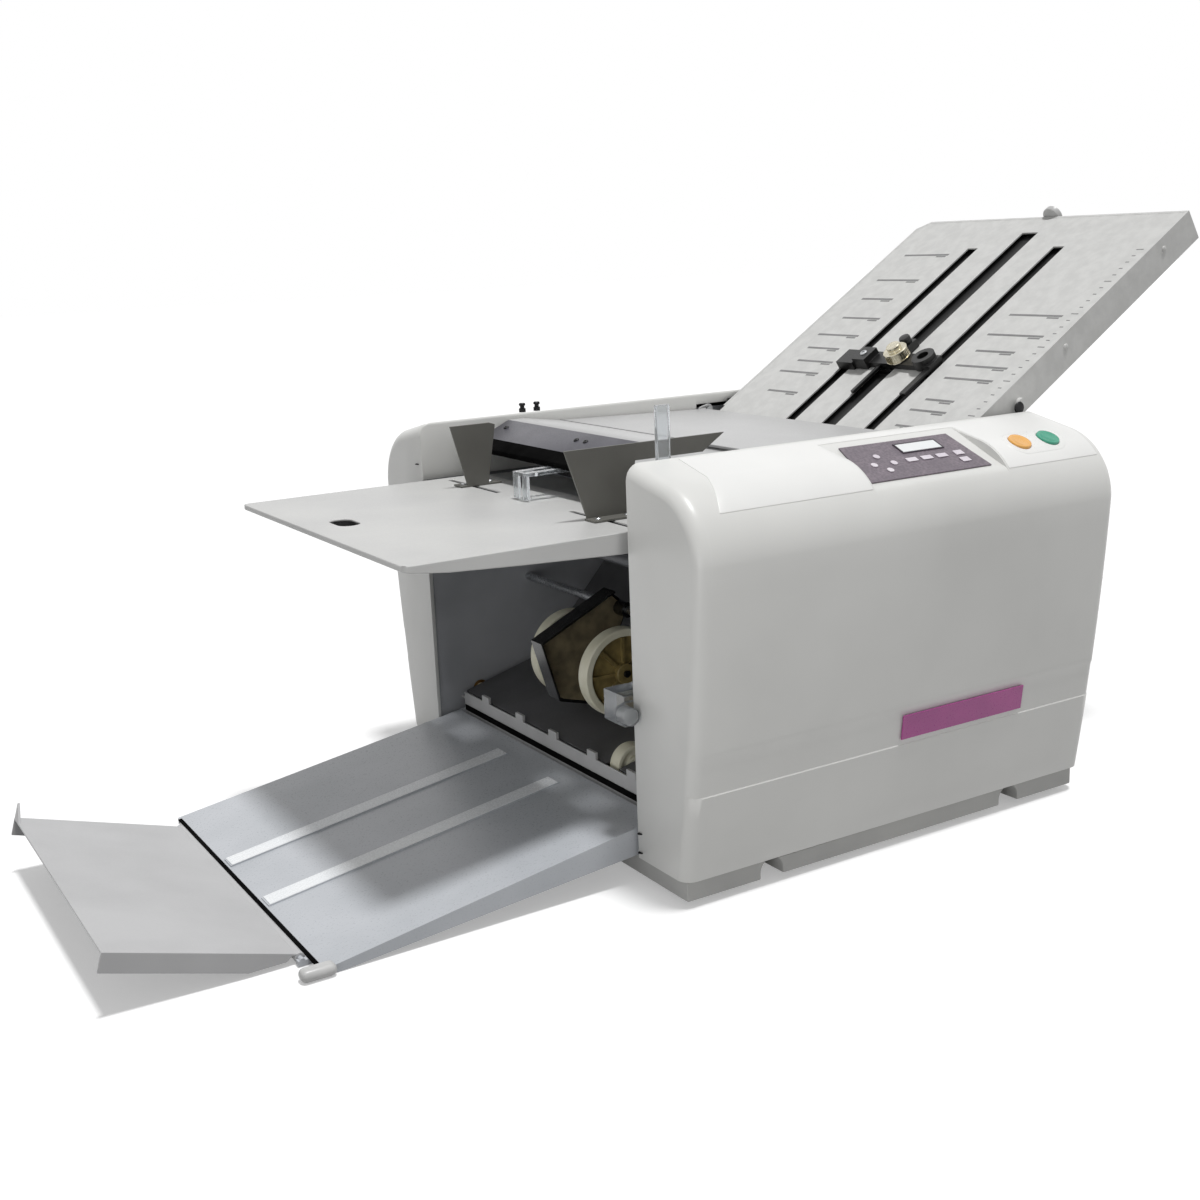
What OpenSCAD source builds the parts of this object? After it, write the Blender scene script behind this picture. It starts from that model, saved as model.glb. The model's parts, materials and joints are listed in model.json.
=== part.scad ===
// Desk paper folding machine: friction feed, two buckle fold plates, folding stacker table.
// X runs along the paper path (the stacker is at -X, the first fold plate rises towards +X),
// Y runs across the machine (the control side is at -Y) and Z is up from the desk.
// Sub-parts are drawn with x = 0 at the left end of the side covers; machine() then centres them.

/* [Body] */
// Length of both side covers along the paper path
cover_len = 431; // [425:1:470]
// Half of the clear width between the two side covers
lip_half = 181; // [180:1:200]
// Height of the covers at their inner edge
cover_top = 337; // [330:1:350]
// Height of the covers' bottom edge above the desk
cover_bottom = 22.8; // [20:0.2:26]
// Half of the machine's width at the covers' bottom edge
cover_foot_half = 245.5; // [235:0.5:265]
// How far each cover bulges out above its foot
cover_bulge = 28; // [15:1:36]
// Radius of the covers' rounded shoulder
shoulder_r = 58; // [45:1:64]
// Wall of the moulded covers
cover_wall = 3; // [2:0.5:3.5]
// Thickness of the steel side frames
frame_wall = 3; // [2:0.5:4]
// Height of the rubber feet
foot_h = 6; // [4:1:10]
// Radius of the rubber feet
foot_r = 14; // [8:1:20]

/* [Control panel] */
// Left end of the flat facet that holds the panel
facet_x = 173; // [120:1:180]
// Length of the facet
facet_len = 141; // [130:1:160]
// Tilt of the facet from level
facet_tilt = 23.6; // [20:0.1:28]
// Radius of the start and stop buttons
button_r = 10; // [8:0.5:13]
// How far the start and stop buttons travel
button_travel = 2; // [1:0.5:4]

/* [Feed table] */
// Height of the feed table's top
table_top = 283.6; // [281:0.2:286]
// Reach of the feed table beyond the covers
table_reach = 180; // [120:1:190]
// Gap between the feed table and each side cover
table_gap = 8; // [4:0.5:12]
// Depth of the table's folded sides where they enter the covers
table_edge = 17; // [15:1:22]
// Depth of the table's front lip
table_lip = 4.5; // [3:0.5:8]
// Distance from the centre line of the paper to each side guide
guide_half = 109; // [90:1:118]
// Height of the side guides above the table
guide_h = 57; // [50:1:60]
// Radius of the feed tyres
feed_r = 17.5; // [15:0.5:18]

/* [Fold rollers] */
// Pitch radius of the fold rollers' gears
pitch_r = 15; // [14:0.5:16]
// Teeth on each fold roller's gear
gear_teeth = 20; // [16:1:24]
// Radius of every steel roller shaft
shaft_r = 5; // [4:0.5:5.5]

/* [Fold plates] */
// Slope of the first fold plate
plate_angle = 32.4; // [30:0.1:35]
// Length of the first fold plate from its top edge to its throat
plate_len = 435; // [425:1:438]
// Depth of the first fold plate's side walls
plate_depth = 29.8; // [24:0.2:32]
// Gap that the paper runs through in both fold plates
paper_gap = 4.4; // [4:0.1:6]
// Distance between the centre slot and each side slot
slot_pitch = 57.7; // [45:0.1:70]
// Distance of the paper stop from the plate's top edge
stop_at = 242; // [190:1:260]
// Length of the second fold plate
second_len = 188; // [150:1:190]

/* [Stacker] */
// Length of the stacker table along its slope
stacker_len = 291.5; // [240:0.5:300]
// Height of the stacker table's top at its hinge end
stacker_high = 50; // [46:0.5:54]
// Gap between the stacker table and each side cover
stacker_gap = 3; // [2:0.5:8]
// Length of the fold-out extension
extension_len = 143; // [100:1:150]
// Slope of the extension
extension_angle = 17.1; // [12:0.1:24]
// How much narrower than the stacker the extension is at each side
extension_inset = 29; // [28:1:60]

/* [Delivery] */
// Radius of the delivery wheels
wheel_r = 40; // [34:0.5:41]
// Distance from each delivery wheel to the middle of the paper
wheel_out = 42.5; // [36:0.5:60]
// Radius of the exit roller's tyres
exit_r = 18; // [14:0.5:18.5]

/* [Hidden] */
$fn = 48;

seat = 0.3;          // gap between a piece and what carries it
fit = 0.05;          // radial running clearance of a shaft
sheet = 2;           // bent sheet metal
paper_y = -3;        // the paper's centre line
base_wall = 3;
base_top = cover_bottom - seat;
base_half = cover_foot_half - 3.5;
tray_floor = foot_h + base_wall;
frame_in = lip_half + cover_wall + 0.5;
frame_out = frame_in + frame_wall;
frame_x0 = cover_wall + seat;
frame_x1 = cover_len - cover_wall - 4;
frame_top = cover_top - 15;
lip_bottom = table_top - 0.6;     // lower edge of the covers' inner lip over the feed end
lip_step_x = cover_len - 111;     // behind this the lip is shallow, to pass the fold plate
lip_shallow = cover_top - 11;
shoulder_y = cover_foot_half + cover_bulge - shoulder_r;
shoulder_z = cover_top - 67;
front_bow = 3;
inlay_t = 1.5;

// Fold roller centres (x, z): the centre roller drives the other three
centre_at = [248.6, 237.2];
upper_dir = 100;
right_dir = -6;
lower_dir = -96;
roller_gap = 0.15;
roller_r = pitch_r - roller_gap;
function beside(dir) = [centre_at[0] + 2 * pitch_r * cos(dir), centre_at[1] + 2 * pitch_r * sin(dir)];
upper_at = beside(upper_dir);
right_at = beside(right_dir);
lower_at = beside(lower_dir);
roller_half = frame_in - 8;
bush_wall = 3;
bush_r = shaft_r + bush_wall;
gear_y = frame_out + 4;
gear_w = 8;
pulley_w = 8;
belt_t = 2.5;
motor_at = [205, 62];
motor_r = 32;
motor_pulley_r = 12;
centre_pulley_r = 22;

// Feed end
table_half = lip_half - table_gap;
table_in = 60;
feed_at = [table_in + 38, table_top + 4.2 + feed_r];
holder_x = table_in + 2;
holder_end = feed_at[0] + 14;
hood_x = 48;
hood_low = table_top + 27.4;
hood_high = table_top + 48.4;
hood_run = 47;
hood_near = -58;
deck_z = cover_top - 11;
deck_fall = 5;
deck_x1 = lip_step_x + 10;
notch_x = 148;
guide_x = -13;

// First fold plate: local x runs up the slope, local z is square to it, origin at the top edge
throat_at = [262.72, 266.52];
plate_x = throat_at[0] + plate_len * cos(plate_angle);
plate_z = throat_at[1] + plate_len * sin(plate_angle);
plate_near = -lip_half + 7;
plate_far = lip_half - 5;
plate_sheet = 2;
rail_t = 3;
rail_len = plate_len - 105;
slot_top = 48;
centre_slot_top = 22;
slot_end = 340;
slot_w = 14;
centre_slot_w = 21;
hang_s = rail_len - 5;
hang_r = 5;

// Second fold plate
second_at = [267, 208];
second_angle = 60;
second_stop_at = 105;

// Delivery
wheel_at = [74, 131];
bracket_at = [111, 172];
exit_at = [50, 66];
strip_x = 27;
chute_knee = [120, 92];

// Stacker and extension
stacker_half = lip_half - stacker_gap;
extension_half = stacker_half - extension_inset;
stacker_x = 22;
stacker_end_z = 5;
stacker_drop = asin((stacker_high - stacker_end_z) / stacker_len);
stacker_end = stacker_x - stacker_len * cos(stacker_drop);
stacker_pin = [26, stacker_high - 8];
pin_r = 4;
extension_pin = [stacker_end - 6, 4.6];
extension_pin_r = 2;
hem_r = 4;

// The middle of the whole machine along X, which machine() puts at x = 0
extension_wall = 12;
extension_tip = extension_pin[0] - extension_len * cos(extension_angle)
  - extension_wall * sin(extension_angle);
plate_rise = 6;         // the plate's end wall stands this far above the slots' origin
plate_tip = plate_x + plate_rise * cos(plate_angle) + plate_depth * sin(plate_angle);
mid_x = (extension_tip + plate_tip) / 2;

// ---- shared shapes ----

module machine() {
  translate([-mid_x, 0, 0]) children();
}

// A rod along Y from y0 to y1 at [x, z]
module rod(at, r, y0, y1) {
  translate([at[0], y0, at[1]]) rotate([-90, 0, 0]) cylinder(r = r, h = y1 - y0);
}

// An XZ outline drawn out along Y, or a YZ outline along X
module across(y0, y1) {
  translate([0, y1, 0]) rotate([90, 0, 0]) linear_extrude(y1 - y0) children();
}

module along(x0, x1) {
  translate([x0, 0, 0]) rotate([90, 0, 90]) linear_extrude(x1 - x0) children();
}

module block(x0, x1, y0, y1, z0, z1) {
  translate([x0, y0, z0]) cube([x1 - x0, y1 - y0, z1 - z0]);
}

// The same piece on both sides of the machine
module both_sides() {
  children();
  mirror([0, 1, 0]) children();
}

function arc(at, r, a0, a1, n) =
  [for (i = [0:n]) let (a = a0 + (a1 - a0) * i / n) [at[0] + r * cos(a), at[1] + r * sin(a)]];

// A strip of sheet of thickness t that follows a path of [x, z] points, its upper side on the path
module bent(path, t) {
  polygon(concat(path, [for (i = [len(path) - 1:-1:0]) [path[i][0], path[i][1] - t]]));
}

// ---- base ----

notch_xs = [85, cover_len - 86];

module base_tray() color("gainsboro") machine() {
  difference() {
    block(4, cover_len - 8, -base_half, base_half, foot_h, base_top);
    block(4 + base_wall, cover_len - 8 - base_wall, -base_half + base_wall, base_half - base_wall,
      tray_floor, base_top + 1);
    for (x = notch_xs) both_sides() {
      block(x - 11, x + 11, base_half - 24, base_half + 1, foot_h - 1, foot_h + 5);
      rod([x, foot_h + 5], 11, base_half - base_wall - 1, base_half + 1);
    }
  }
  // the floor steps up over each finger hold
  for (x = notch_xs) both_sides() difference() {
    block(x - 14, x + 14, base_half - 27, base_half, foot_h, base_top);
    block(x - 11, x + 11, base_half - 24, base_half + 1, foot_h - 1, foot_h + 5);
    rod([x, foot_h + 5], 11, base_half - 24, base_half + 1);
  }
}

module feet() color("dimgray") machine() {
  for (x = [32, cover_len - 36], y = [-base_half + 26, base_half - 26])
    translate([x, y, 0]) cylinder(r = foot_r, h = foot_h);
}

// ---- side frames and what runs across them ----

module frame_plate() {
  difference() {
    block(frame_x0, frame_x1, frame_in, frame_out, tray_floor, frame_top);
    for (at = [upper_at, centre_at, right_at, lower_at, feed_at, exit_at])
      rod(at, bush_r + 0.02, frame_in - 1, frame_out + 1);
    // corners that stand clear of the tray's end walls
    block(frame_x0 - 1, 4 + base_wall + seat, frame_in - 1, frame_out + 1, 0, base_top + seat);
    block(cover_len - 8 - base_wall - seat, frame_x1 + 1, frame_in - 1, frame_out + 1, 0, base_top + seat);
  }
}

module near_frame() color("slategray") machine() mirror([0, 1, 0]) frame_plate();

module far_frame() color("slategray") machine() difference() {
  frame_plate();
  rod(motor_at, motor_pulley_r, frame_in - 1, frame_out + 1);
}

module cross_stays() color("silver") machine() {
  high = table_top - 32.6;
  low = tray_floor + 31;
  for (at = [[30, high + 1], [feed_at[0] + 87, table_top - 58.6], [cover_len - 31, high - 1],
    [chute_knee[0] - 8, low], [cover_len - 33, low]])
    rod(at, 6, -frame_in, frame_in);
}

module bearings() color("peru") machine() {
  for (at = [upper_at, centre_at, right_at, lower_at, feed_at, exit_at]) both_sides() difference() {
    rod(at, bush_r, frame_in, frame_out + 1.5);
    rod(at, shaft_r + fit, frame_in - 1, frame_out + 3);
  }
}

// ---- covers ----

// Outline of one cover in YZ, w inside the outer skin
function cover_outline(w) =
  concat(
    [[lip_half + w, cover_bottom - (w > 0 ? 1 : 0)]],
    [for (i = [0:7]) let (t = i / 8)
      [cover_foot_half - w + cover_bulge * t + front_bow * 4 * t * (1 - t),
       cover_bottom + (shoulder_z - cover_bottom) * t - (i == 0 && w > 0 ? 1 : 0)]],
    arc([shoulder_y, shoulder_z], shoulder_r - w, 0, 80, 8),
    [[lip_half + w, cover_top - 1.02 * w]]);

module cover_shell() {
  difference() {
    along(0, cover_len) polygon(cover_outline(0));
    along(cover_wall, cover_len - cover_wall) polygon(cover_outline(cover_wall));
    block(cover_wall, lip_step_x, lip_half - 1, lip_half + cover_wall + 1, cover_bottom - 2, lip_bottom);
    block(lip_step_x - 1, cover_len - cover_wall, lip_half - 1, lip_half + cover_wall + 1,
      cover_bottom - 2, lip_shallow);
    rod(feed_at, shaft_r + 1, lip_half - 1, lip_half + cover_wall + 1);
    // two shallow bands that run along the cover above its foot
    for (z = [cover_bottom + 69.7, cover_bottom + 100.7])
      let (t = (z - cover_bottom) / (shoulder_z - cover_bottom))
      block(10, cover_len + 1, cover_foot_half + cover_bulge * t + front_bow * 4 * t * (1 - t) - 0.8,
        cover_foot_half + cover_bulge, z - 0.8, z + 0.8);
  }
}

// Everything above the facet's plane, lowered by d, between x0 and x1, on the near side
module above_facet(x0, x1, d) {
  translate([x0, -shoulder_y - 16, shoulder_z + 49 - d]) rotate([facet_tilt, 0, 0])
    translate([0, -60, 0]) cube([x1 - x0, 120, 40]);
}

button_tilt = 26;
button_xs = [348, 381];

// Local frame on the shoulder: origin on the skin, z out of the skin
module on_shoulder(x) {
  translate([x, -shoulder_y - shoulder_r * sin(button_tilt), shoulder_z + shoulder_r * cos(button_tilt)])
    rotate([button_tilt, 0, 0]) children();
}

module inlay_band(grow) {
  intersection() {
    mirror([0, 1, 0]) difference() {
      along(27 - grow, cover_len - 12 + grow) polygon(cover_outline(0));
      along(0, cover_len) polygon(cover_outline(inlay_t + grow));
    }
    block(0, cover_len, -shoulder_y - shoulder_r - 5, -lip_half - cover_wall - 1 + grow,
      shoulder_z + 36 - grow, cover_top + 5);
  }
}

module near_cover() color("whitesmoke") machine() difference() {
  union() {
    difference() {
      mirror([0, 1, 0]) cover_shell();
      inlay_band(0.1);
    }
    // pocket under the control panel: its floor and its two end walls
    intersection() {
      mirror([0, 1, 0]) along(facet_x - cover_wall, facet_x + facet_len + cover_wall)
        polygon(cover_outline(inlay_t + 0.1));
      above_facet(facet_x - cover_wall, facet_x + facet_len + cover_wall, cover_wall);
    }
  }
  above_facet(facet_x, facet_x + facet_len, 0);
  for (x = button_xs) on_shoulder(x) translate([0, 0, -12]) cylinder(r = button_r + seat, h = 20);
}

module far_cover() color("whitesmoke") machine() cover_shell();

module top_inlay() color("white") machine() difference() {
  inlay_band(0);
  above_facet(facet_x, facet_x + facet_len, 0);
  for (x = button_xs) on_shoulder(x) translate([0, 0, -12]) cylinder(r = button_r + seat, h = 20);
}

// Local frame of the facet: origin at its left lower edge, x along it, y up the tilt
module on_facet() {
  translate([facet_x, -shoulder_y - 16, shoulder_z + 49]) rotate([facet_tilt, 0, 0]) children();
}

panel_low = -24.5;
panel_high = 28.5;
panel_t = 1.2;

module control_panel() color("dimgray") machine() on_facet() linear_extrude(panel_t)
  polygon([[1, panel_low], [facet_len - 11, panel_low], [facet_len - 15, panel_high], [11, panel_high]]);

module display_window() color("azure") machine() on_facet()
  translate([63, 9, panel_t]) cube([42, 12, 0.6]);

module panel_keys() color("white") machine() on_facet() {
  for (x = [57, 73, 89]) translate([x, -5, panel_t]) cube([11, 5.5, 0.8]);
  for (p = [[109, -5], [107, -15.5]]) translate([p[0], p[1], panel_t]) cube([9, 6.5, 0.8]);
  for (p = [[34, 8.5], [23, -2.5], [32, -12], [43, -3]]) translate([p[0], p[1], panel_t])
    cylinder(r = 3, h = 0.8);
}

board_x0 = facet_x - 73;
board_x1 = facet_x + facet_len - 14;
board_z0 = shoulder_z - 120;
board_z1 = shoulder_z - 8;

module control_board() color("seagreen") machine() {
  face = -frame_out - 14;
  block(board_x0, board_x1, face, face + 2, board_z0, board_z1);
  for (x = [board_x0 + 10, board_x1 - 10], z = [board_z0 + 10, board_z1 - 10])
    rod([x, z], 3, face + 2, -frame_out);
  block(board_x0 + 20, board_x0 + 65, face - 20, face, board_z0 + 15, board_z0 + 55);
  block(board_x0 + 80, board_x0 + 105, face - 10, face, board_z0 + 20, board_z0 + 90);
  for (x = [125, 150, 175]) rod([board_x0 + x, board_z0 + 40], 8, face - 22, face);
}

module button(x) {
  on_shoulder(x) translate([0, 0, -9]) cylinder(r = button_r, h = 9 + button_travel);
}

module start_button() color("mediumseagreen") machine() button(button_xs[1]);
module stop_button() color("orange") machine() button(button_xs[0]);

// The blank name plate lies on the leaning front between the two bands
module badge_plate() color("mediumvioletred") machine() {
  z0 = cover_bottom + 75;
  z1 = z0 + 21;
  t0 = (z0 - cover_bottom) / (shoulder_z - cover_bottom);
  t1 = (z1 - cover_bottom) / (shoulder_z - cover_bottom);
  y0 = -cover_foot_half - cover_bulge * t0 - front_bow * 4 * t0 * (1 - t0);
  y1 = -cover_foot_half - cover_bulge * t1 - front_bow * 4 * t1 * (1 - t1);
  along(205, 340) polygon([[y0 - 0.1, z0], [y0 - 1.2, z0], [y1 - 1.2, z1], [y1 - 0.1, z1]]);
}

inlet_y = 120;
switch_y = 72;
panel_z = 62;

module rear_cover() color("whitesmoke") machine() difference() {
  block(cover_len - 6, cover_len - 3, -lip_half + 0.5, lip_half - 0.5, base_top + seat,
    plate_z - (plate_x - cover_len + 6) * tan(plate_angle) - plate_depth / cos(plate_angle) - seat);
  block(cover_len - 8, cover_len, inlet_y - 14, inlet_y + 14, panel_z - 10.5, panel_z + 10.5);
  block(cover_len - 8, cover_len, switch_y - 7.5, switch_y + 7.5, panel_z - 12, panel_z + 12);
  rod([cover_len - 4.5, panel_z], 1 + fit, switch_y - 8.7, switch_y + 8.7);
  for (i = [0:8]) block(cover_len - 8, cover_len, -120, -40, 60 + i * 9, 64 + i * 9);
}

module power_inlet() color("dimgray") machine() {
  x0 = cover_len - 24;
  x1 = cover_len - 1;
  difference() {
    union() {
      block(x0, cover_len - 3, inlet_y - 13.7, inlet_y + 13.7, panel_z - 10.2, panel_z + 10.2);
      block(cover_len - 3, x1, inlet_y - 17, inlet_y + 17, panel_z - 13, panel_z + 13);
    }
    block(x1 - 17, x1 + 1, inlet_y - 12, inlet_y + 12, panel_z - 8.2, panel_z + 8.2);
  }
  for (p = [[-7, -1.5], [0, 2], [7, -1.5]])
    block(x0 + 4, x1 - 5, inlet_y + p[0] - 1, inlet_y + p[0] + 1, panel_z + p[1] - 2, panel_z + p[1] + 2);
}

// The rocker turns on two stub pins in the panel and is drawn with its lower end pressed in
rocker_at = [cover_len - 4.5, panel_z];
rocker_pin = 1;

module power_switch() color("black") machine() {
  translate([rocker_at[0], 0, rocker_at[1]]) rotate([0, -8, 0]) across(switch_y - 6.8, switch_y + 6.8)
    polygon([[-4.5, -10.3], [3.5, -10.3], [2.1, 0], [3.5, 10.3], [-4.5, 10.3]]);
  rod(rocker_at, rocker_pin, switch_y - 8.5, switch_y + 8.5);
}

// ---- drive ----

module main_motor() color("darkgray") machine() difference() {
  union() {
    rod(motor_at, motor_r, frame_in - 78, frame_in);
    rod(motor_at, motor_r - 6, frame_in - 84, frame_in - 78);
    block(motor_at[0] - 24, motor_at[0] + 24, frame_in - 70, frame_in - 10, tray_floor, motor_at[1] - 20);
  }
  rod(motor_at, 4 + fit, frame_in - 30, frame_in + 1);
}

belt_y = gear_y + gear_w + 3;

module motor_pulley() color("silver") machine() {
  rod(motor_at, 4, frame_in - 28, belt_y + pulley_w + 2);
  rod(motor_at, motor_pulley_r - belt_t / 2 - seat, belt_y, belt_y + pulley_w);
  for (y = [belt_y - 1.5, belt_y + pulley_w]) rod(motor_at, motor_pulley_r - 0.5, y, y + 1.5);
}

// The loop between the motor's pulley and the centre roller's
module belt_outline(grow) {
  hull() {
    translate(motor_at) circle(r = motor_pulley_r + grow);
    translate(centre_at) circle(r = centre_pulley_r + grow);
  }
}

module drive_belt() color("black") machine() across(belt_y + 1, belt_y + pulley_w - 1) difference() {
  belt_outline(belt_t / 2);
  belt_outline(-belt_t / 2);
}

// ---- feed end ----

table_round = 6;

// Outline of the table from above, w inside its edge, with its front corners rounded
module table_outline(w) {
  hull() {
    for (s = [-1, 1]) translate([-table_reach + table_round, s * (table_half - table_round)])
      circle(r = table_round - w);
    translate([0, -table_half + w]) square([table_in - w, 2 * (table_half - w)]);
  }
}

module feed_table() color("gainsboro") machine() difference() {
  union() {
    translate([0, 0, table_top - sheet]) linear_extrude(sheet) table_outline(0);
    // the sides are folded down, shallow at the front lip and deeper towards the covers
    intersection() {
      translate([0, 0, table_top - table_edge]) linear_extrude(table_edge - 1) difference() {
        table_outline(0);
        table_outline(sheet);
        translate([table_in - sheet - 1, -table_half + sheet]) square([sheet + 2, 2 * (table_half - sheet)]);
      }
      across(-table_half - 1, table_half + 1) polygon([[-table_reach - 1, table_top],
        [-table_reach - 1, table_top - table_lip], [-table_reach + 12, table_top - table_lip - 2],
        [-table_reach + 36, table_top - 0.55 * table_edge],
        [-table_reach + 92, table_top - 0.75 * table_edge],
        [0, table_top - table_edge], [table_in + 1, table_top - table_edge], [table_in + 1, table_top]]);
    }
    both_sides() block(14, table_in, table_half - sheet, frame_in, table_top - table_edge,
      table_top - table_edge + sheet);
  }
  // finger hole, and the slots that the side guides slide along
  translate([0, 0, table_top - sheet - 1]) linear_extrude(sheet + 2)
    translate([-table_reach + 35, 20]) {
      translate([0, -7.5]) circle(r = 9.5);
      translate([0, 7.5]) circle(r = 9.5);
      translate([-9.5, -7.5]) square([19, 15]);
    }
  block(16, 22, paper_y - guide_half - 53, paper_y - guide_half + 46, table_top - sheet - 1, table_top + 1);
  block(16, 22, paper_y + guide_half - 46, paper_y + guide_half + 53, table_top - sheet - 1, table_top + 1);
}

// Foot, upright and slide stud of one side guide, drawn for the near side of the paper
module guide_base(outline) {
  y1 = -guide_half;
  across(y1 - sheet, y1) polygon(outline);
  block(4, 46, y1 - 16, y1, table_top + seat, table_top + seat + 1.5);
  translate([19, y1 - 9, table_top - 7]) cylinder(r = 2.6, h = 8);
  translate([19, y1 - 9, table_top - 7]) cylinder(r = 6, h = 7 - sheet - seat);
}

guide_z = table_top + seat;
guide_high = table_top + guide_h;

module near_guide() color("dimgray") machine() translate([0, paper_y, 0])
  guide_base([[6, guide_z], [46, guide_z], [52, guide_high - 14], [118, guide_high - 14],
    [140, guide_high], [guide_x, guide_high]]);

module far_guide() color("dimgray") machine() translate([0, paper_y, 0]) mirror([0, 1, 0])
  guide_base([[11, guide_z], [32, guide_z], [42, guide_high - 2], [36, guide_high],
    [guide_x + 9, guide_high]]);

module feed_shaft() color("silver") machine() {
  rod(feed_at, shaft_r, -frame_out - 4, frame_out + 4);
  for (y = [-46, 0, 46]) rod(feed_at, feed_r - 4, paper_y + y - 9, paper_y + y + 9);
}

module feed_tyres() color("dimgray") machine() for (y = [-46, 0, 46]) difference() {
  rod(feed_at, feed_r, paper_y + y - 8, paper_y + y + 8);
  rod(feed_at, feed_r - 4, paper_y + y - 9, paper_y + y + 9);
}

module separator_pad() color("tan") machine()
  block(feed_at[0] - 10, feed_at[0] + 10, paper_y - 14, paper_y + 14, table_top + 1, table_top + 4.2 - seat);

module separator_holder() color("dimgray") machine() {
  block(holder_x, holder_end, -table_half, table_half, table_top - 4, table_top - 2);
  block(feed_at[0] - 13, feed_at[0] + 13, paper_y - 18, paper_y + 18, table_top - 2, table_top + 1);
  both_sides() block(holder_x, holder_end, table_half - 2, frame_in, table_top - 6, table_top - 4);
}

lever_at = [36, table_top + 10.4];

module pressure_lever() color("lightcyan") machine() difference() {
  union() {
    across(-lip_half + 1, -lip_half + 5) polygon([[lever_at[0] - 6, lever_at[1]],
      [lever_at[0] + 6, lever_at[1]], [lever_at[0] + 6, lever_at[1] + 83],
      [lever_at[0] - 6, lever_at[1] + 83]]);
    rod(lever_at, 7, -lip_half + 1, -lip_half + 5);
  }
  rod(lever_at, 3 + fit, -lip_half, -lip_half + 6);
}

module infeed_guide() color("silver") machine() {
  path = [[holder_end + 2, table_top], [holder_end + 20, table_top - 2],
    [centre_at[0] - 22.6, centre_at[1] + 17]];
  across(-frame_in + 6, frame_in - 6) bent(path, 1.5);
  both_sides() block(holder_end + 38, holder_end + 88, frame_in - 7, frame_in, centre_at[1] + 34,
    centre_at[1] + 36);
}

module feed_deck() color("whitesmoke") machine() {
  block(60, notch_x + 2, -lip_half + seat, hood_near - 2.5, deck_z - 6, deck_z - 4);
  block(60, 62, -lip_half + seat, hood_near - 2.5, deck_z - 16, deck_z - 6);
}

// The hinged cover over the rollers: a sloping hood at the feed end, then a level deck
module top_cover() color("white") machine() {
  cut = deck_x1;
  hood = [[hood_x, hood_low], [hood_x + hood_run, hood_high], [hood_x + hood_run + 15, hood_high],
    [notch_x + 4, deck_z]];
  far_y = lip_half - 3;
  across(hood_near, far_y) bent(hood, 2.5);
  difference() {
    across(-far_y, far_y) bent([[notch_x + 3, deck_z], [cut, deck_z - deck_fall]], 3);
    both_sides() rod([cut + 2, deck_z - 5.5], 4, far_y - 6, far_y + 1);
  }
  both_sides() across(far_y - 2.5, far_y) polygon([[notch_x + 4, deck_z - 12], [notch_x + 4, deck_z - 1],
    [cut - 6, deck_z - deck_fall - 1], [cut - 6, deck_z - 12]]);
  block(notch_x + 4, notch_x + 6.5, -far_y, far_y, deck_z - 12, deck_z - 2);
  both_sides() difference() {
    hull() {
      rod([cut + 2, deck_z - 5.5], 5.5, far_y - 2.5, far_y);
      rod([cut - 6, deck_z - 6.5], 4.5, far_y - 2.5, far_y);
    }
    rod([cut + 2, deck_z - 5.5], 3 + fit, far_y - 4, far_y + 1);
  }
}

// Clear fingers that hold the stack's front edge, carried by an arm on the hood
module feed_fingers() color("lightcyan") machine() {
  slope = (hood_high - hood_low) / hood_run;
  under = hood_low - 2.5;
  for (y = [-4, 12]) across(y, y + 8)
    polygon([[12, table_top + 1.7], [15, table_top + 1.7], [15, under - 3.5], [hood_x + 9, under - 3.5],
      [hood_x + 9, under + 9 * slope], [hood_x, under], [12, under - 0.5]]);
  block(12, 26, -4, 20, under - 3.5, under - 0.5);
}

// ---- fold rollers ----

module fold_roller(at) {
  rod(at, roller_r, -roller_half, roller_half);
  rod(at, shaft_r, -frame_out - 4, gear_y + gear_w + 1);
}

module roller_upper() color("darkslategray") machine() fold_roller(upper_at);
module roller_right() color("darkslategray") machine() fold_roller(right_at);
module roller_lower() color("darkslategray") machine() fold_roller(lower_at);

module roller_centre() color("darkslategray") machine() {
  fold_roller(centre_at);
  rod(centre_at, shaft_r, gear_y, belt_y + pulley_w + 2);
}

tooth_pitch = 360 / gear_teeth;
tooth_half_deg = tooth_pitch * 0.2;

// Spur gear on a shaft, with its first tooth at angle a0
module gear(at, a0) {
  tip = pitch_r + 1.1;
  root = pitch_r - 1.6;
  points = [for (i = [0:gear_teeth - 1]) for (p = [[root, -1.5], [tip, -0.55], [tip, 0.55], [root, 1.5]])
    let (a = a0 + i * tooth_pitch + p[1] * tooth_half_deg)
    [at[0] + p[0] * cos(a), at[1] + p[0] * sin(a)]];
  difference() {
    across(gear_y, gear_y + gear_w) polygon(points);
    rod(at, shaft_r + 0.01, gear_y - 1, gear_y + gear_w + 1);
  }
}

// The angle at which a gear beside the centre one meshes with it
function mesh_angle(dir) = 2 * dir + 180 + tooth_pitch / 2;

module gear_upper() color("ivory") machine() gear(upper_at, mesh_angle(upper_dir));
module gear_right() color("ivory") machine() gear(right_at, mesh_angle(right_dir));
module gear_lower() color("ivory") machine() gear(lower_at, mesh_angle(lower_dir));

module gear_centre() color("ivory") machine() {
  gear(centre_at, 0);
  difference() {
    union() {
      rod(centre_at, pitch_r - 5, gear_y + gear_w - 0.5, belt_y);
      rod(centre_at, centre_pulley_r - belt_t / 2 - seat, belt_y, belt_y + pulley_w);
      rod(centre_at, centre_pulley_r - 0.5, belt_y + pulley_w, belt_y + pulley_w + 1.5);
    }
    rod(centre_at, shaft_r + 0.01, gear_y + gear_w - 1, belt_y + pulley_w + 3);
  }
}

// ---- first fold plate ----

module on_plate() {
  translate([plate_x, 0, plate_z]) rotate([0, -plate_angle, 0]) children();
}

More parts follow.
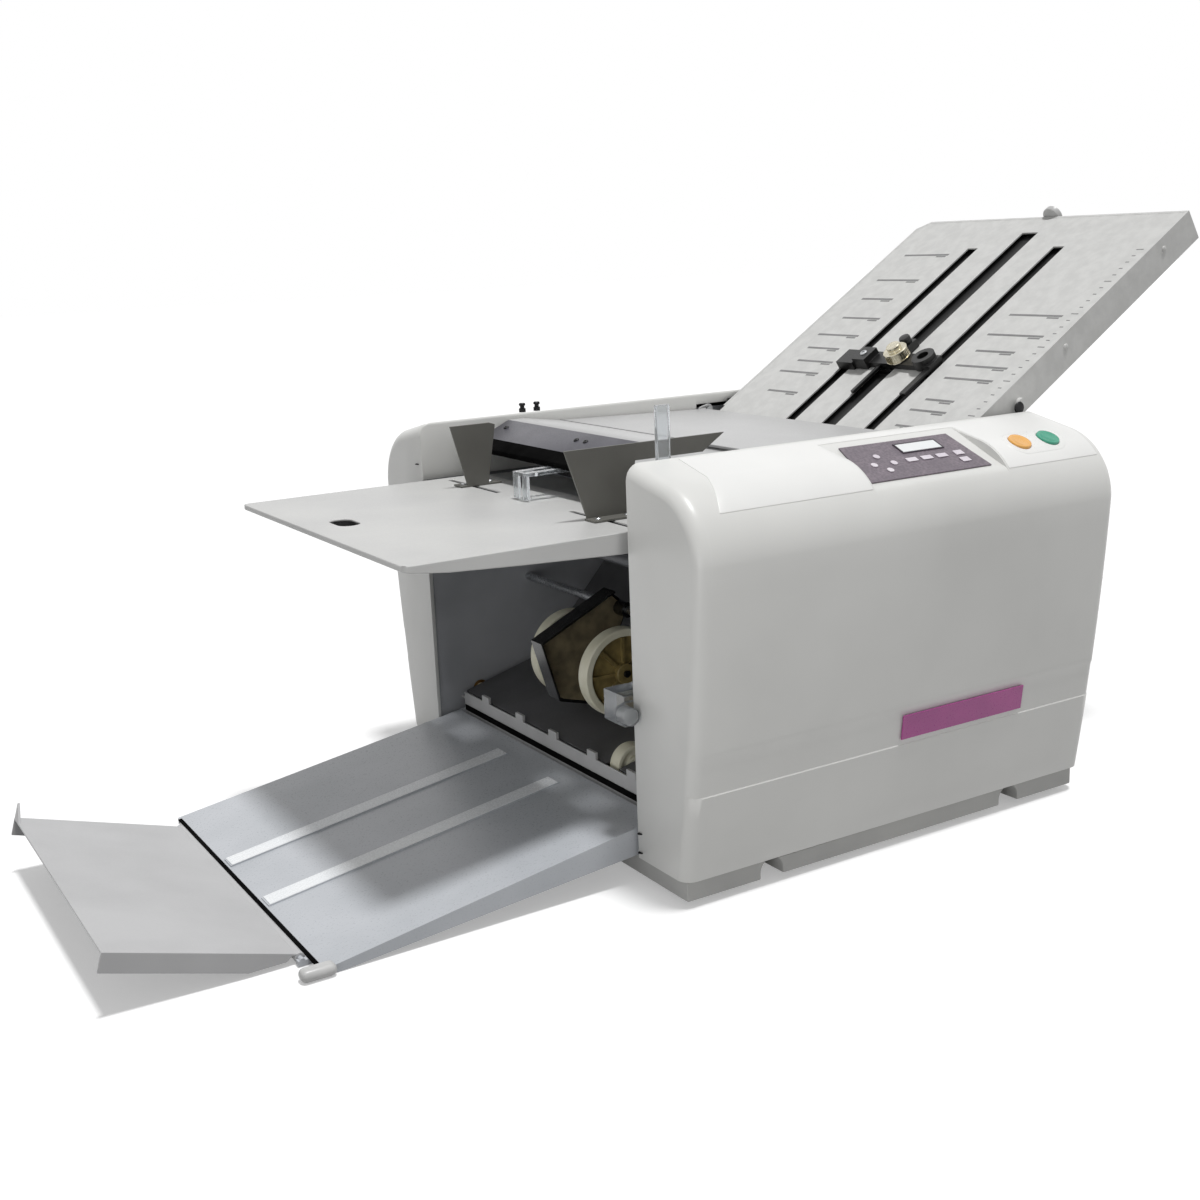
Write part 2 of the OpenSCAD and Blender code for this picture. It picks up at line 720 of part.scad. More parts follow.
module plate_slots(z0, z1) {
  for (k = [[-slot_pitch, slot_w, slot_top], [0, centre_slot_w, centre_slot_top],
    [slot_pitch, slot_w, slot_top]])
    block(-slot_end, -k[2], paper_y + k[0] - k[1] / 2, paper_y + k[0] + k[1] / 2, z0, z1);
}

corner_cut = 13;

// Outline of the plate from above, w inside its walls, with the far top corner cut across
module plate_outline(w, low) {
  c = corner_cut + 0.414 * w;
  top = plate_rise;
  polygon([[low, plate_near + w], [top - w, plate_near + w], [top - w, plate_far - c],
    [top - c, plate_far - w], [low, plate_far - w]]);
}

module fold_plate_top() color("whitesmoke") machine() on_plate() difference() {
  translate([0, 0, -plate_sheet]) linear_extrude(plate_sheet) plate_outline(rail_t, -plate_len);
  plate_slots(-plate_sheet - 1, 1);
}

lower_z = -plate_sheet - paper_gap;

module fold_plate_bottom() color("gainsboro") machine() on_plate() {
  translate([0, 0, lower_z - plate_sheet]) linear_extrude(plate_sheet) plate_outline(rail_t, -plate_len);
  for (x = [-plate_len + 60, -plate_len / 2, -40])
    block(x, x + 12, plate_near + rail_t, plate_far - rail_t, lower_z - plate_sheet - 8,
      lower_z - plate_sheet);
}

module fold_plate_frame() color("lightgray") machine() on_plate() difference() {
  union() {
    translate([0, 0, -plate_depth]) linear_extrude(plate_depth) difference() {
      plate_outline(0, -rail_len);
      plate_outline(rail_t, -rail_len - 1);
    }
    for (y = [plate_near - 4, plate_far]) rod([-rail_len + 68, -19], 5, y, y + 4);
  }
  rod([-hang_s, -plate_depth / 2], hang_r + 0.02, plate_near - 5, plate_far + 5);
}

riser = 16;
knob_out = -13;
knob_r = 12;
ring_at = [1, -47];
ring_r = 11.5;

// Paper stop in the gap, three risers through the slots and the bridge over them
module stopper_carriage() color("black") machine() on_plate() translate([-stop_at, paper_y, 0]) {
  block(-10, 10, plate_near - paper_y + rail_t + 6, plate_far - paper_y - rail_t - 6,
    lower_z + 0.4, -plate_sheet - 0.4);
  for (y = [-slot_pitch, 0, slot_pitch]) block(-riser / 2, riser / 2, y - 4, y + 4, -plate_sheet - 1, 6);
  block(-9, 9, -slot_pitch - 4, slot_pitch + 6, 0.4, 6);
  // end block, clamp block, two pointers, the clamp's heel and the lock ring
  block(-15, 6, 40, slot_pitch + 6, 0.4, 9);
  block(-13, 7, 22, 40, 0.4, 12.5);
  block(-50, -8, 7, 11, 0.4, 3.4);
  block(-47, -8, -slot_pitch - 4, -slot_pitch + 3, 0.4, 3.4);
  block(8, 28, -13, 1, 0.4, 5.6);
  block(14, 28, -13, 1, 5, 9);
  difference() {
    translate([ring_at[0], ring_at[1], 0.4]) cylinder(r = ring_r, h = 10.6);
    translate([ring_at[0], ring_at[1], 6]) cylinder(r = ring_r / 2, h = 6);
  }
}

module stopper_knob() color("silver") machine() on_plate()
  translate([-stop_at, paper_y + knob_out, 6 + seat]) {
    cylinder(r = knob_r, h = 11);
    translate([0, 0, 11]) cylinder(r = 7, h = 5);
  }

module skew_knob() color("white") machine() on_plate() translate([plate_rise + seat, paper_y - 5, -1])
  rotate([0, 90, 0]) {
    cylinder(r = 10, h = 6);
    translate([0, 0, 6]) cylinder(r = 7, h = 2.5);
  }

// ---- second fold plate, inside the body ----

module on_second() {
  translate([second_at[0], 0, second_at[1]]) rotate([0, second_angle, 0]) children();
}

second_half = frame_in - 12;
second_sheet = 1.5;

module second_fold_plate() color("silver") machine() on_second() {
  for (z = [0, second_sheet + paper_gap])
    block(0, second_len, -second_half, second_half, z, z + second_sheet);
  both_sides() block(0, second_len, second_half - 3, second_half, 0, 2 * second_sheet + paper_gap);
  both_sides() block(20, 60, second_half - 1, frame_in, 0, second_sheet);
}

module second_stopper() color("black") machine() on_second()
  block(second_stop_at - 8, second_stop_at + 8, -second_half + 5, second_half - 5,
    second_sheet + 0.4, second_sheet + paper_gap - 0.4);

// ---- delivery ----

bracket_y = paper_y + 20;

module delivery_bracket() color("black") machine() {
  edge = [[35.3, 100.9], [19.4, 156], [97.5, 192]];
  difference() {
    union() {
      across(bracket_y - 2, bracket_y)
        polygon([edge[0], edge[1], edge[2], [121.6, 172], [82, 84], [46.4, 93.9]]);
      rod(bracket_at, pin_r + 3, bracket_y - 19, bracket_y);
    }
    rod(bracket_at, pin_r + fit, -50, 50);
  }
  // its edge is folded towards the near side
  across(bracket_y - 19, bracket_y) polygon([edge[0], edge[1], edge[2], [98.3, 190.2], [21.7, 154.8],
    [37.2, 101.4]]);
  rod(wheel_at, 3, paper_y - wheel_out - 11, paper_y + wheel_out + 11);
}

module delivery_wheels() color("cornsilk") machine()
  for (y = [-wheel_out, wheel_out]) difference() {
  union() {
    rod(wheel_at, wheel_r, paper_y + y - 7, paper_y + y + 7);
    rod(wheel_at, 9, paper_y + y - 9, paper_y + y + 9);
  }
  rod(wheel_at, 3 + fit, paper_y + y - 10, paper_y + y + 10);
  for (s = [-1, 1]) difference() {
    rod(wheel_at, wheel_r - 7, paper_y + y + s * 5 - 3, paper_y + y + s * 5 + 3);
    rod(wheel_at, 12, paper_y + y - 10, paper_y + y + 10);
  }
}

exit_y = paper_y - 93;
exit_w = 14;

module exit_roller() color("cornsilk") machine() {
  rod(exit_at, shaft_r, -frame_out - 4, frame_out + 4);
  difference() {
    rod(exit_at, exit_r, exit_y - exit_w / 2, exit_y + exit_w / 2);
    for (y = [exit_y - exit_w / 2 - 1, exit_y + exit_w / 2 - 3]) difference() {
      rod(exit_at, exit_r - 4, y, y + 4);
      rod(exit_at, 8, y - 1, y + 5);
    }
  }
}

module exit_chute() color("dimgray") machine() difference() {
  union() {
    across(-frame_in + 6, frame_in - 6)
      bent([[strip_x + 4, stacker_high + 18], chute_knee, [226, centre_at[1] - 29]], 1.5);
    both_sides() block(128, 138, frame_in - 7, frame_in, chute_knee[1] + 4, chute_knee[1] + 14);
  }
  block(exit_at[0] - exit_r - 3, exit_at[0] + exit_r + 3, exit_y - exit_w / 2 - 3,
    exit_y + exit_w / 2 + 3, 55, 100);
}

module exit_strip() color("lightgray") machine() {
  block(strip_x, strip_x + 1.5, -frame_in + 9, frame_in - 9, stacker_high - 4, stacker_high + 18);
  for (y = [-130, -67, 0, 62, 130]) block(strip_x, strip_x + 3, y - 7, y + 7, stacker_high + 16.5,
    stacker_high + 24);
  both_sides() block(strip_x + 1.5, strip_x + 16, frame_in - 10, frame_in, stacker_high + 10,
    stacker_high + 12);
}

exit_pivot = [22, 146];

// Clear paper guide at the near side with its knob in front of the cover
module exit_lever() color("lightgray") machine() difference() {
  union() {
    block(-9, exit_pivot[0] + 6, -lip_half + 1, -lip_half + 4, 136, 152);
    block(-6, 22, -lip_half + 4, -lip_half + 34, 131, 156);
    rod([-9, 144], 7, -lip_half - 12, -lip_half + 4);
  }
  rod(exit_pivot, 3 + fit, -lip_half - 1, -lip_half + 12);
  block(exit_pivot[0] - 8, exit_pivot[0] + 1, -lip_half + 4, -lip_half + 10, 130, 157);
}

// ---- stacker ----

module stacker() color("lightsteelblue") machine() {
  top = [[stacker_x, stacker_high], [stacker_end, stacker_end_z]];
  slope = (stacker_high - stacker_end_z) / (stacker_x - stacker_end);
  across(-stacker_half, stacker_half) bent(top, 1.5);
  for (y = [paper_y - 43, paper_y + 50]) across(y - 9, y + 9)
    bent([[stacker_x - 20, stacker_high - 20 * slope + 1],
      [stacker_end + 4, stacker_end_z + 4 * slope + 1]], 2);
  both_sides() difference() {
    union() {
      across(stacker_half - 2, stacker_half) polygon([[stacker_x, stacker_high],
        [stacker_end, stacker_end_z], [stacker_end, 0.5], [stacker_end + 16, 0.5],
        [stacker_x, stacker_high - 24]]);
      rod(stacker_pin, 9, stacker_half - 2, stacker_half);
    }
    rod(stacker_pin, pin_r + fit, stacker_half - 3, stacker_half + 1);
  }
  // lugs and rod that carry the extension
  both_sides() block(extension_pin[0] - 3.5, stacker_end + 3, extension_half + 1,
    extension_half + 6, 0.6, 4.9);
  rod(extension_pin, extension_pin_r, -extension_half - 6, extension_half + 6);
}

// Local frame of the extension: x runs back towards the stacker, z is square to the sheet
module on_extension() {
  translate([extension_pin[0], 0, extension_pin[1]]) rotate([0, extension_angle, 0]) children();
}

module stacker_extension() color("lightgray") machine() on_extension() {
  difference() {
    union() {
      rod([0, 0], hem_r, -extension_half, extension_half);
      block(-extension_len, 0, -extension_half, extension_half, 1.4, 3);
    }
    rod([0, 0], extension_pin_r + fit, -extension_half - 1, extension_half + 1);
  }
  both_sides() across(extension_half - 2, extension_half)
    polygon([[-5, 2.5], [-extension_len, 2.5], [-extension_len, -extension_wall],
      [-36, -extension_wall], [-9, -3.5]]);
  // pointed corner stop at the far side
  translate([-extension_len, 0, 0]) rotate([90, 0, 90]) linear_extrude(2)
    polygon([[extension_half - 1, 2], [extension_half - 1, 16], [extension_half - 19, 2]]);
}

// ---- small fixings ----

module hinge_pins() color("silver") machine() {
  cut = deck_x1;
  both_sides() rod(stacker_pin, pin_r, stacker_half - 5, frame_in);
  both_sides() rod([cut + 2, deck_z - 5.5], 3, lip_half - 7, frame_in);
  rod(bracket_at, pin_r, -frame_in, frame_in);
  rod(lever_at, 3, -lip_half, -lip_half + 8);
  rod(exit_pivot, 3, -frame_in, -lip_half + 8);
  on_plate_pin = [plate_x - hang_s * cos(plate_angle) + plate_depth / 2 * sin(plate_angle),
    plate_z - hang_s * sin(plate_angle) - plate_depth / 2 * cos(plate_angle)];
  both_sides() rod(on_plate_pin, hang_r, lip_half - 9, frame_in);
}

module screws() color("silver") machine() {
  for (z = [cover_bottom + 11.2, lip_bottom + 7], y = [-lip_half + 31, lip_half - 31])
    translate([cover_len - 3, y, z]) rotate([0, 90, 0]) cylinder(r = 3.5, h = 2);
  for (x = [24, 50]) both_sides() translate([x, table_half + 5.5, table_top - table_edge + sheet])
    cylinder(r = 3, h = 2);
}

base_tray();
feet();
near_frame();
far_frame();
cross_stays();
bearings();
near_cover();
far_cover();
top_inlay();
control_panel();
display_window();
panel_keys();
control_board();
start_button();
stop_button();
badge_plate();
rear_cover();
power_inlet();
power_switch();
main_motor();
motor_pulley();
drive_belt();
feed_table();
near_guide();
far_guide();
feed_shaft();
feed_tyres();
separator_pad();
separator_holder();
pressure_lever();
infeed_guide();
feed_deck();
roller_upper();
roller_centre();
roller_right();
roller_lower();
gear_upper();
gear_centre();
gear_right();
gear_lower();
fold_plate_top();
fold_plate_bottom();
fold_plate_frame();
stopper_carriage();
stopper_knob();
skew_knob();
second_fold_plate();
second_stopper();
delivery_bracket();
delivery_wheels();
exit_roller();
exit_chute();
exit_strip();
exit_lever();
stacker();
stacker_extension();
top_cover();
feed_fingers();
hinge_pins();
screws();
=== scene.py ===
import bpy
import bmesh
import json
import math
from mathutils import Vector, Matrix

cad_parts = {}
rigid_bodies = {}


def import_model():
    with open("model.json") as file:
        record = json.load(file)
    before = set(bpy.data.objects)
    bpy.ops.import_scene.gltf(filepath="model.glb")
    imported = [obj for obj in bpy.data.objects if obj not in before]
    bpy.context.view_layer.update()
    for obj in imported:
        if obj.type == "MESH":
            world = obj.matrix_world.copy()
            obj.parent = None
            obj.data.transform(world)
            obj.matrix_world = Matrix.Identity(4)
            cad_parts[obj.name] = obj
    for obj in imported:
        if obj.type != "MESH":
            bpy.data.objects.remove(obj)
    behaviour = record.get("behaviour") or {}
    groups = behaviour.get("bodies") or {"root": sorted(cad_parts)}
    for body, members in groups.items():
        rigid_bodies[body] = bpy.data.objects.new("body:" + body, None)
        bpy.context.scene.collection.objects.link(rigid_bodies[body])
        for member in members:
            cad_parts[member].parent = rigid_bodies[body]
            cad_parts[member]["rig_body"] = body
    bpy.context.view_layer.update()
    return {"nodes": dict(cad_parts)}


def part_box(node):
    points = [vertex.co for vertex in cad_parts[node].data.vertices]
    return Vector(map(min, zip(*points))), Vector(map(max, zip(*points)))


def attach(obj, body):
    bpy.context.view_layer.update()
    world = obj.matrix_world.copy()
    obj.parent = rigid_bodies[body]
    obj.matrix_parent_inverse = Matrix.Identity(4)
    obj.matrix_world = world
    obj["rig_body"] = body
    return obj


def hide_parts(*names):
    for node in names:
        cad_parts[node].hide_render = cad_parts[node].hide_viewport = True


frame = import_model()
cad = frame["nodes"]

# == Camera, floor and light ==
# A pale studio sweep under one overhead lamp, so that the covers' tops glow, their leaning fronts
# fall into grey and the table shades the stacker; a small side lamp fills in.
left_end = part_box("near_cover")[0].x


def at(x, y, z):
    """A point in millimetres from the covers' left end, the machine's middle and the desk."""
    return Vector((left_end + x / 1000, y / 1000, z / 1000))


def linear(code):
    """A sRGB hex colour as linear RGBA."""
    parts = [int(code[i:i + 2], 16) / 255 for i in (0, 2, 4)]
    return [c / 12.92 if c <= 0.04045 else ((c + 0.055) / 1.055) ** 2.4 for c in parts] + [1.0]


def node(tree, kind, sockets=None, **settings):
    """Adds one node to a tree, with its settings and with each named socket set or linked."""
    made = tree.nodes.new(kind)
    for key, value in settings.items():
        setattr(made, key, value)
    for key, value in (sockets or {}).items():
        if isinstance(value, bpy.types.NodeSocket):
            tree.links.new(value, made.inputs[key])
        else:
            made.inputs[key].default_value = value
    return made


def linked(name, data):
    """A new object in the scene with this data."""
    made = bpy.data.objects.new(name, data)
    bpy.context.scene.collection.objects.link(made)
    return made


def blank(owner):
    """The node tree of a material or of the world, emptied."""
    owner.use_nodes = True
    owner.node_tree.nodes.clear()
    return owner.node_tree


def in_view(tree):
    """An output that is 1 where the camera sees this directly, in a mirror or through a clear piece."""
    seen = node(tree, "ShaderNodeLightPath")
    shown = seen.outputs["Is Camera Ray"]
    for ray in ("Is Glossy Ray", "Is Transmission Ray"):
        shown = node(tree, "ShaderNodeMath", {0: shown, 1: seen.outputs[ray]}, operation="MAXIMUM").outputs[0]
    return shown


camera_data = bpy.data.cameras.new("photo_camera")
camera_data.sensor_width = 36
camera_data.lens = 44.59
camera_data.shift_x = 0.0098
camera_data.shift_y = -0.0013
camera_data.clip_start = 0.05
camera = linked("photo_camera", camera_data)
camera.location = at(-585.2, -1106.9, 499.7)
camera.rotation_euler = [math.radians(a) for a in (76.4125, 2.3475, -31.2127)]
bpy.context.scene.camera = camera
bpy.context.scene.view_settings.view_transform = "Standard"

floor_mesh = bpy.data.meshes.new("studio_floor")
reach = 14
floor_mesh.from_pydata([(-reach, -reach, 0), (reach, -reach, 0), (reach, reach, 0), (-reach, reach, 0)], [],
                       [(0, 1, 2, 3)])
floor = linked("studio_floor", floor_mesh)
# Seamless paper: a clean white where it is looked at, and a mid grey to the light that it returns.
floor_paper = bpy.data.materials.new("studio_paper")
tree = blank(floor_paper)
bright = node(tree, "ShaderNodeBsdfDiffuse", {"Color": linear("E4E4E4")})
glow = node(tree, "ShaderNodeEmission", {"Color": linear("FFFFFF"), "Strength": 0.34})
white = node(tree, "ShaderNodeAddShader", {0: bright.outputs[0], 1: glow.outputs[0]})
plain = node(tree, "ShaderNodeBsdfDiffuse", {"Color": linear("A8A8A8")})
mixed = node(tree, "ShaderNodeMixShader", {0: in_view(tree), 1: plain.outputs[0], 2: white.outputs[0]})
node(tree, "ShaderNodeOutputMaterial", {"Surface": mixed.outputs[0]})
floor_mesh.materials.append(floor_paper)

world = bpy.data.worlds.new("studio")
bpy.context.scene.world = world
tree = blank(world)
soft = node(tree, "ShaderNodeBackground", {"Color": linear("FFFFFF"), "Strength": 0.3})
clean = node(tree, "ShaderNodeBackground", {"Color": linear("FFFFFF"), "Strength": 1.0})
mixed = node(tree, "ShaderNodeMixShader", {0: in_view(tree), 1: soft.outputs[0], 2: clean.outputs[0]})
node(tree, "ShaderNodeOutputWorld", {"Surface": mixed.outputs[0]})

ceiling = bpy.data.lights.new("ceiling_light", "SUN")
ceiling.energy = 2.2
ceiling.angle = math.radians(7)
linked("ceiling_light", ceiling).rotation_euler = [math.radians(a) for a in (9, 4.3, 0)]
side = bpy.data.lights.new("side_light", "AREA")
side.energy = 0.12
side.size = 0.35
side.spread = math.radians(52)
side_lamp = linked("side_light", side)
side_lamp.location = at(-600, -620, 200)
side_lamp.rotation_euler = (at(0, -225, 190) - side_lamp.location).to_track_quat("-Z", "Y").to_euler()

# == Base tray and feet ==
# A grey ABS tray that closes the machine from below, with finger holds in its lip, standing on four
# rubber feet.


def grain(name, tones, cloud_mm, grain_mm, depth_mm, rough, metallic=0.0, **shader_values):
    """A solid surface: two tones that drift over cloud_mm, and a grain of grain_mm in gloss and relief."""
    material = bpy.data.materials.new(name)
    tree = blank(material)
    place = node(tree, "ShaderNodeTexCoord")
    cloud = node(tree, "ShaderNodeTexNoise", {"Vector": place.outputs["Object"], "Scale": 1000 / cloud_mm,
                                              "Detail": 3.0, "Roughness": 0.55})
    tone = node(tree, "ShaderNodeValToRGB", {"Fac": cloud.outputs["Fac"]})
    for stop, position, code in zip(tone.color_ramp.elements, (0.36, 0.66), tones):
        stop.position = position
        stop.color = linear(code)
    fine = node(tree, "ShaderNodeTexNoise", {"Vector": place.outputs["Object"], "Scale": 1000 / grain_mm,
                                             "Detail": 2.0, "Roughness": 0.6})
    gloss = node(tree, "ShaderNodeMapRange", {"Value": fine.outputs["Fac"], "From Min": 0.3, "From Max": 0.7,
                                              "To Min": rough - 0.05, "To Max": rough + 0.07})
    relief = node(tree, "ShaderNodeBump", {"Height": fine.outputs["Fac"], "Distance": depth_mm / 1000,
                                           "Strength": 0.6})
    shader = node(tree, "ShaderNodeBsdfPrincipled", {"Base Color": tone.outputs["Color"],
                                                     "Roughness": gloss.outputs["Result"],
                                                     "Normal": relief.outputs["Normal"],
                                                     "Metallic": metallic})
    for key, value in shader_values.items():
        shader.inputs[key.replace("_", " ")].default_value = value
    node(tree, "ShaderNodeOutputMaterial", {"Surface": shader.outputs["BSDF"]})
    return material


def dress(mesh, *materials):
    """Fills a mesh's material slots and puts the first on every face."""
    mesh.materials.clear()
    for material in materials:
        mesh.materials.append(material)
    mesh.polygons.foreach_set("material_index", [0] * len(mesh.polygons))


def keep(name, mesh, material, body, stands_for=None, crease=34):
    """Puts a finished mesh into the scene as a piece that rides on a body."""
    mesh.name = name
    dress(mesh, material)
    if not mesh.has_custom_normals:
        mesh.shade_smooth()
        mesh.set_sharp_from_angle(angle=math.radians(crease))
    piece = linked(name, mesh)
    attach(piece, body)
    if stands_for:
        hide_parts(stands_for)
    return piece


def result_of(carrier):
    """The mesh that an object's modifiers make of its own; the object goes."""
    bpy.context.view_layer.update()
    mesh = bpy.data.meshes.new_from_object(carrier.evaluated_get(bpy.context.evaluated_depsgraph_get()))
    bpy.data.objects.remove(carrier)
    return mesh


def baked(mesh, modifiers):
    """The mesh with modifiers applied to it; each is a type and its settings."""
    carrier = linked("carrier", mesh)
    for kind, settings in modifiers:
        modifier = carrier.modifiers.new(kind.lower(), kind)
        for key, value in settings.items():
            setattr(modifier, key, value)
    return result_of(carrier)


def even_shading(mesh):
    """Broad faces (slot 0) keep their own normal, and rounded edges (slot 1) start from their neighbours'."""
    crease, broad_mm2 = 34, 2500
    flats = [[] for vertex in mesh.vertices]
    rounds = [[] for vertex in mesh.vertices]
    for face in mesh.polygons:
        for vertex in face.vertices:
            (rounds if face.material_index else flats)[vertex].append(face)
    limit = math.cos(math.radians(crease))

    def blended(faces):
        """The mean direction of the faces' different normals."""
        return sum({face.normal.to_tuple(3): face.normal for face in faces}.values(), Vector()).normalized()

    normals = [None] * len(mesh.loops)
    for face in mesh.polygons:
        for corner in face.loop_indices:
            vertex = mesh.loops[corner].vertex_index
            if not flats[vertex]:
                normals[corner] = blended(rounds[vertex])
                continue
            nearest = face
            if face.material_index:
                nearest = max(flats[vertex], key=lambda other: other.normal.dot(face.normal))
            group = [other for other in flats[vertex] if other.normal.dot(nearest.normal) > limit]
            broadest = max([nearest] + group, key=lambda other: other.area)
            if nearest.area * 1e6 > broad_mm2:
                normals[corner] = nearest.normal.copy()
            elif broadest.area * 1e6 > broad_mm2:
                normals[corner] = broadest.normal.copy()
            else:
                normals[corner] = blended(group or [nearest])
    mesh.shade_smooth()
    mesh.normals_split_custom_set(normals)


def eased(part, material, edge_mm, steps=2, pierced=False):
    """A copy of a CAD node with its sharp edges rounded. pierced is for a broad face with holes."""
    flat, sharp = math.radians(0.4), math.radians(32)
    source = cad[part]
    mesh = source.data.copy()
    work = bmesh.new()
    work.from_mesh(mesh)
    bmesh.ops.remove_doubles(work, verts=work.verts, dist=2e-6)
    bmesh.ops.dissolve_limit(work, angle_limit=flat, verts=work.verts, edges=work.edges)
    if pierced:
        bmesh.ops.triangulate(work, faces=work.faces)
    work.to_mesh(mesh)
    work.free()
    dress(mesh, material, material)
    mesh = baked(mesh, [("BEVEL", {"width": edge_mm / 1000, "segments": steps, "angle_limit": sharp,
                                   "use_clamp_overlap": not pierced, "material": 1})])
    even_shading(mesh)
    keep(part + "_eased", mesh, material, source["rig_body"], part)


# Satin moulded ABS: flat mid grey with a broad, dull highlight and a faint pebble.
tray_abs = grain("moulded_abs_tray", ("B4B4B2", "C1C1BE"), 90, 1.6, 0.05, 0.46)
eased("base_tray", tray_abs, 1.2)
# Moulded rubber: near black and matt, with no clear highlight.
foot_rubber = grain("moulded_rubber_foot", ("1D1D1D", "272727"), 20, 1.2, 0.08, 0.78)
eased("feet", foot_rubber, 1.0)

# == Side frames, cross stays and bushes ==
# Two 3 mm steel plates with grey powder coat, tied by rods in a dark grey of painted shade; sintered
# bronze bushes carry the shafts.

# Powder-coated steel: even grey with a slight orange peel and long soft reflections.
frame_coat = grain("powder_coated_steel_frame", ("9A9CA0", "AFB1B5"), 120, 1.8, 0.06, 0.34)
# Dark, dull grey steel as painted shade: the rods and the infeed guide stay dark inside the machine.
shade_dark_steel = grain("shade_dark_steel", ("333437", "404246"), 60, 1.4, 0.03, 0.48, 0.2)
# Ground steel: bright metal whose tight highlights break up in a very fine grain.
ground_steel = grain("ground_steel", ("A9ABAD", "C4C6C8"), 35, 1.0, 0.02, 0.27, 1.0)
# Sintered bronze: warm brown metal, dull because its skin is porous.
bush_bronze = grain("sintered_bronze", ("8A6A3B", "A98A55"), 12, 0.8, 0.04, 0.42, 1.0)


def painted(part, material):
    """Gives a CAD node, whose shape is right as it is, its real finish."""
    dress(cad[part].data, material)


for part in ("near_frame", "far_frame"):
    eased(part, frame_coat, 0.6, 1)
# The cross stays carry painted shade: a dark grey where the bay is in shadow.
painted("cross_stays", shade_dark_steel)
painted("hinge_pins", ground_steel)
painted("bearings", bush_bronze)

# == Side covers ==
# White moulded ABS shells, open inside and below. The front leans out as it rises, then rolls over a
# wide shoulder; the ends are rounded.

# Moulded ABS with a light sheen: off-white, so that the rolled edges catch a soft gleam.
cover_abs = grain("moulded_abs_cover", ("E0E0DD", "E8E8E5"), 160, 1.5, 0.035, 0.36, Coat_Weight=0.12,
                  Coat_Roughness=0.3)
# A cover's length; in section its foot, what the lean adds, its inner edge, and its foot's and top's heights.
LENGTH, FOOT, BULGE, LIP, LOW, TOP = 431.0, 245.5, 28.0, 181.0, 22.8, 337.0
SHOULDER_R = 58.0
SHOULDER_Y, SHOULDER_Z = FOOT + BULGE - SHOULDER_R, TOP - 67
# The flat for the control panel: a point of it in section, its tilt, and where it starts and ends.
FACET_Y, FACET_Z, FACET_TILT, FACET_LEFT, FACET_RIGHT = 231.5, 319.0, math.radians(23.6), 173, 314
END_ROUND = 11.0


def facet_height(y, z):
    """How far a point of the section lies above the flat that carries the control panel."""
    return (y - FACET_Y) * math.sin(FACET_TILT) + (z - FACET_Z) * math.cos(FACET_TILT)


def cover_section(inset=0.0):
    """The cover's outer skin in section, from its foot, over the shoulder, to its inner edge."""
    band_edges = (92.5, 93.4, 122.7, 123.6)
    rises = [i / 14 for i in range(14)] + [(z - LOW) / (SHOULDER_Z - LOW) for z in band_edges]
    points = []
    for t in sorted(rises):
        z = LOW + (SHOULDER_Z - LOW) * t
        swell = 12 * t * (1 - t)
        sink = 0.7 if 93 < z < 123 else 0.0
        points.append((FOOT + BULGE * t + swell - sink - inset, z))
    for i in range(21):
        a = math.radians(4 * i)
        r = SHOULDER_R - inset
        points.append((SHOULDER_Y + r * math.cos(a), SHOULDER_Z + r * math.sin(a)))
    y0, z0 = points[-1]
    top = TOP - 1.02 * inset
    for i in range(1, 7):
        points.append((y0 + (LIP + 1.5 - y0) * i / 6, z0 + (top - 0.4 - z0) * i / 6))
    points += [(LIP + 0.4, top - 1.2), (LIP, top - 2.6)]
    return points


def meshed(work):
    """A mesh from a finished bmesh."""
    mesh = bpy.data.meshes.new("shape")
    work.to_mesh(mesh)
    work.free()
    return mesh


def cover_shell(side, panel):
    """One cover as a thin shell. side is -1 near, 1 far; panel sinks the flat for the controls."""
    lip_front, lip_rear = 283.0, 326.0
    rounding = []
    for i in range(7):
        a = math.radians(15 * i)
        rounding.append((END_ROUND * (1 - math.cos(a)), END_ROUND * (1 - math.sin(a))))
    stations = [(x, inset, False, lip_front) for x, inset in rounding]
    for x in (40, 80, 120, FACET_LEFT - 0.1):
        stations.append((x, 0.0, False, lip_front))
    for x in (FACET_LEFT, 205, 240, 280, FACET_RIGHT):
        stations.append((x, 0.0, panel, lip_front))
    for x in (FACET_RIGHT + 0.1, 320):
        stations.append((x, 0.0, False, lip_front))
    for x in (320.1, 360, 395):
        stations.append((x, 0.0, False, lip_rear))
    stations += [(LENGTH - x, inset, False, lip_rear) for x, inset in reversed(rounding)]
    work = bmesh.new()
    rings = []
    for x, inset, sunk, low in stations:
        ring = []
        for y, z in cover_section(inset):
            over = facet_height(y, z)
            if sunk and over > 0:
                y, z = y - over * math.sin(FACET_TILT), z - over * math.cos(FACET_TILT)
            ring.append(work.verts.new(at(x, side * y, z)))
        ring.append(work.verts.new(at(x, side * LIP, min(low, TOP - 6 - 1.02 * inset))))
        rings.append(ring)
    for a, b in zip(rings, rings[1:]):
        for i in range(len(a) - 1):
            work.faces.new((a[i], a[i + 1], b[i + 1], b[i]))
    for ring, x in ((rings[0], 0.0), (rings[-1], LENGTH)):
        foot = work.verts.new(at(x, side * LIP, LOW))
        work.faces.new(ring + [foot])
    bmesh.ops.recalc_face_normals(work, faces=work.faces)
    probe = max(work.faces, key=lambda f: f.calc_center_median().y * side)
    if probe.normal.y * side < 0:
        bmesh.ops.reverse_faces(work, faces=work.faces)
    return baked(meshed(work), [("SOLIDIFY", {"thickness": 0.0028, "offset": -1, "use_even_offset": True}),
                                ("BEVEL", {"width": 0.0007, "segments": 2, "angle_limit": math.radians(62)})])


keep("far_cover_shell", cover_shell(1, False), cover_abs, "machine", "far_cover", 40)

# == Start and stop buttons ==
# Two dished acrylic caps in round holes through the shoulder, side by side in a paler oval bezel. Each
# cap slides in its hole.


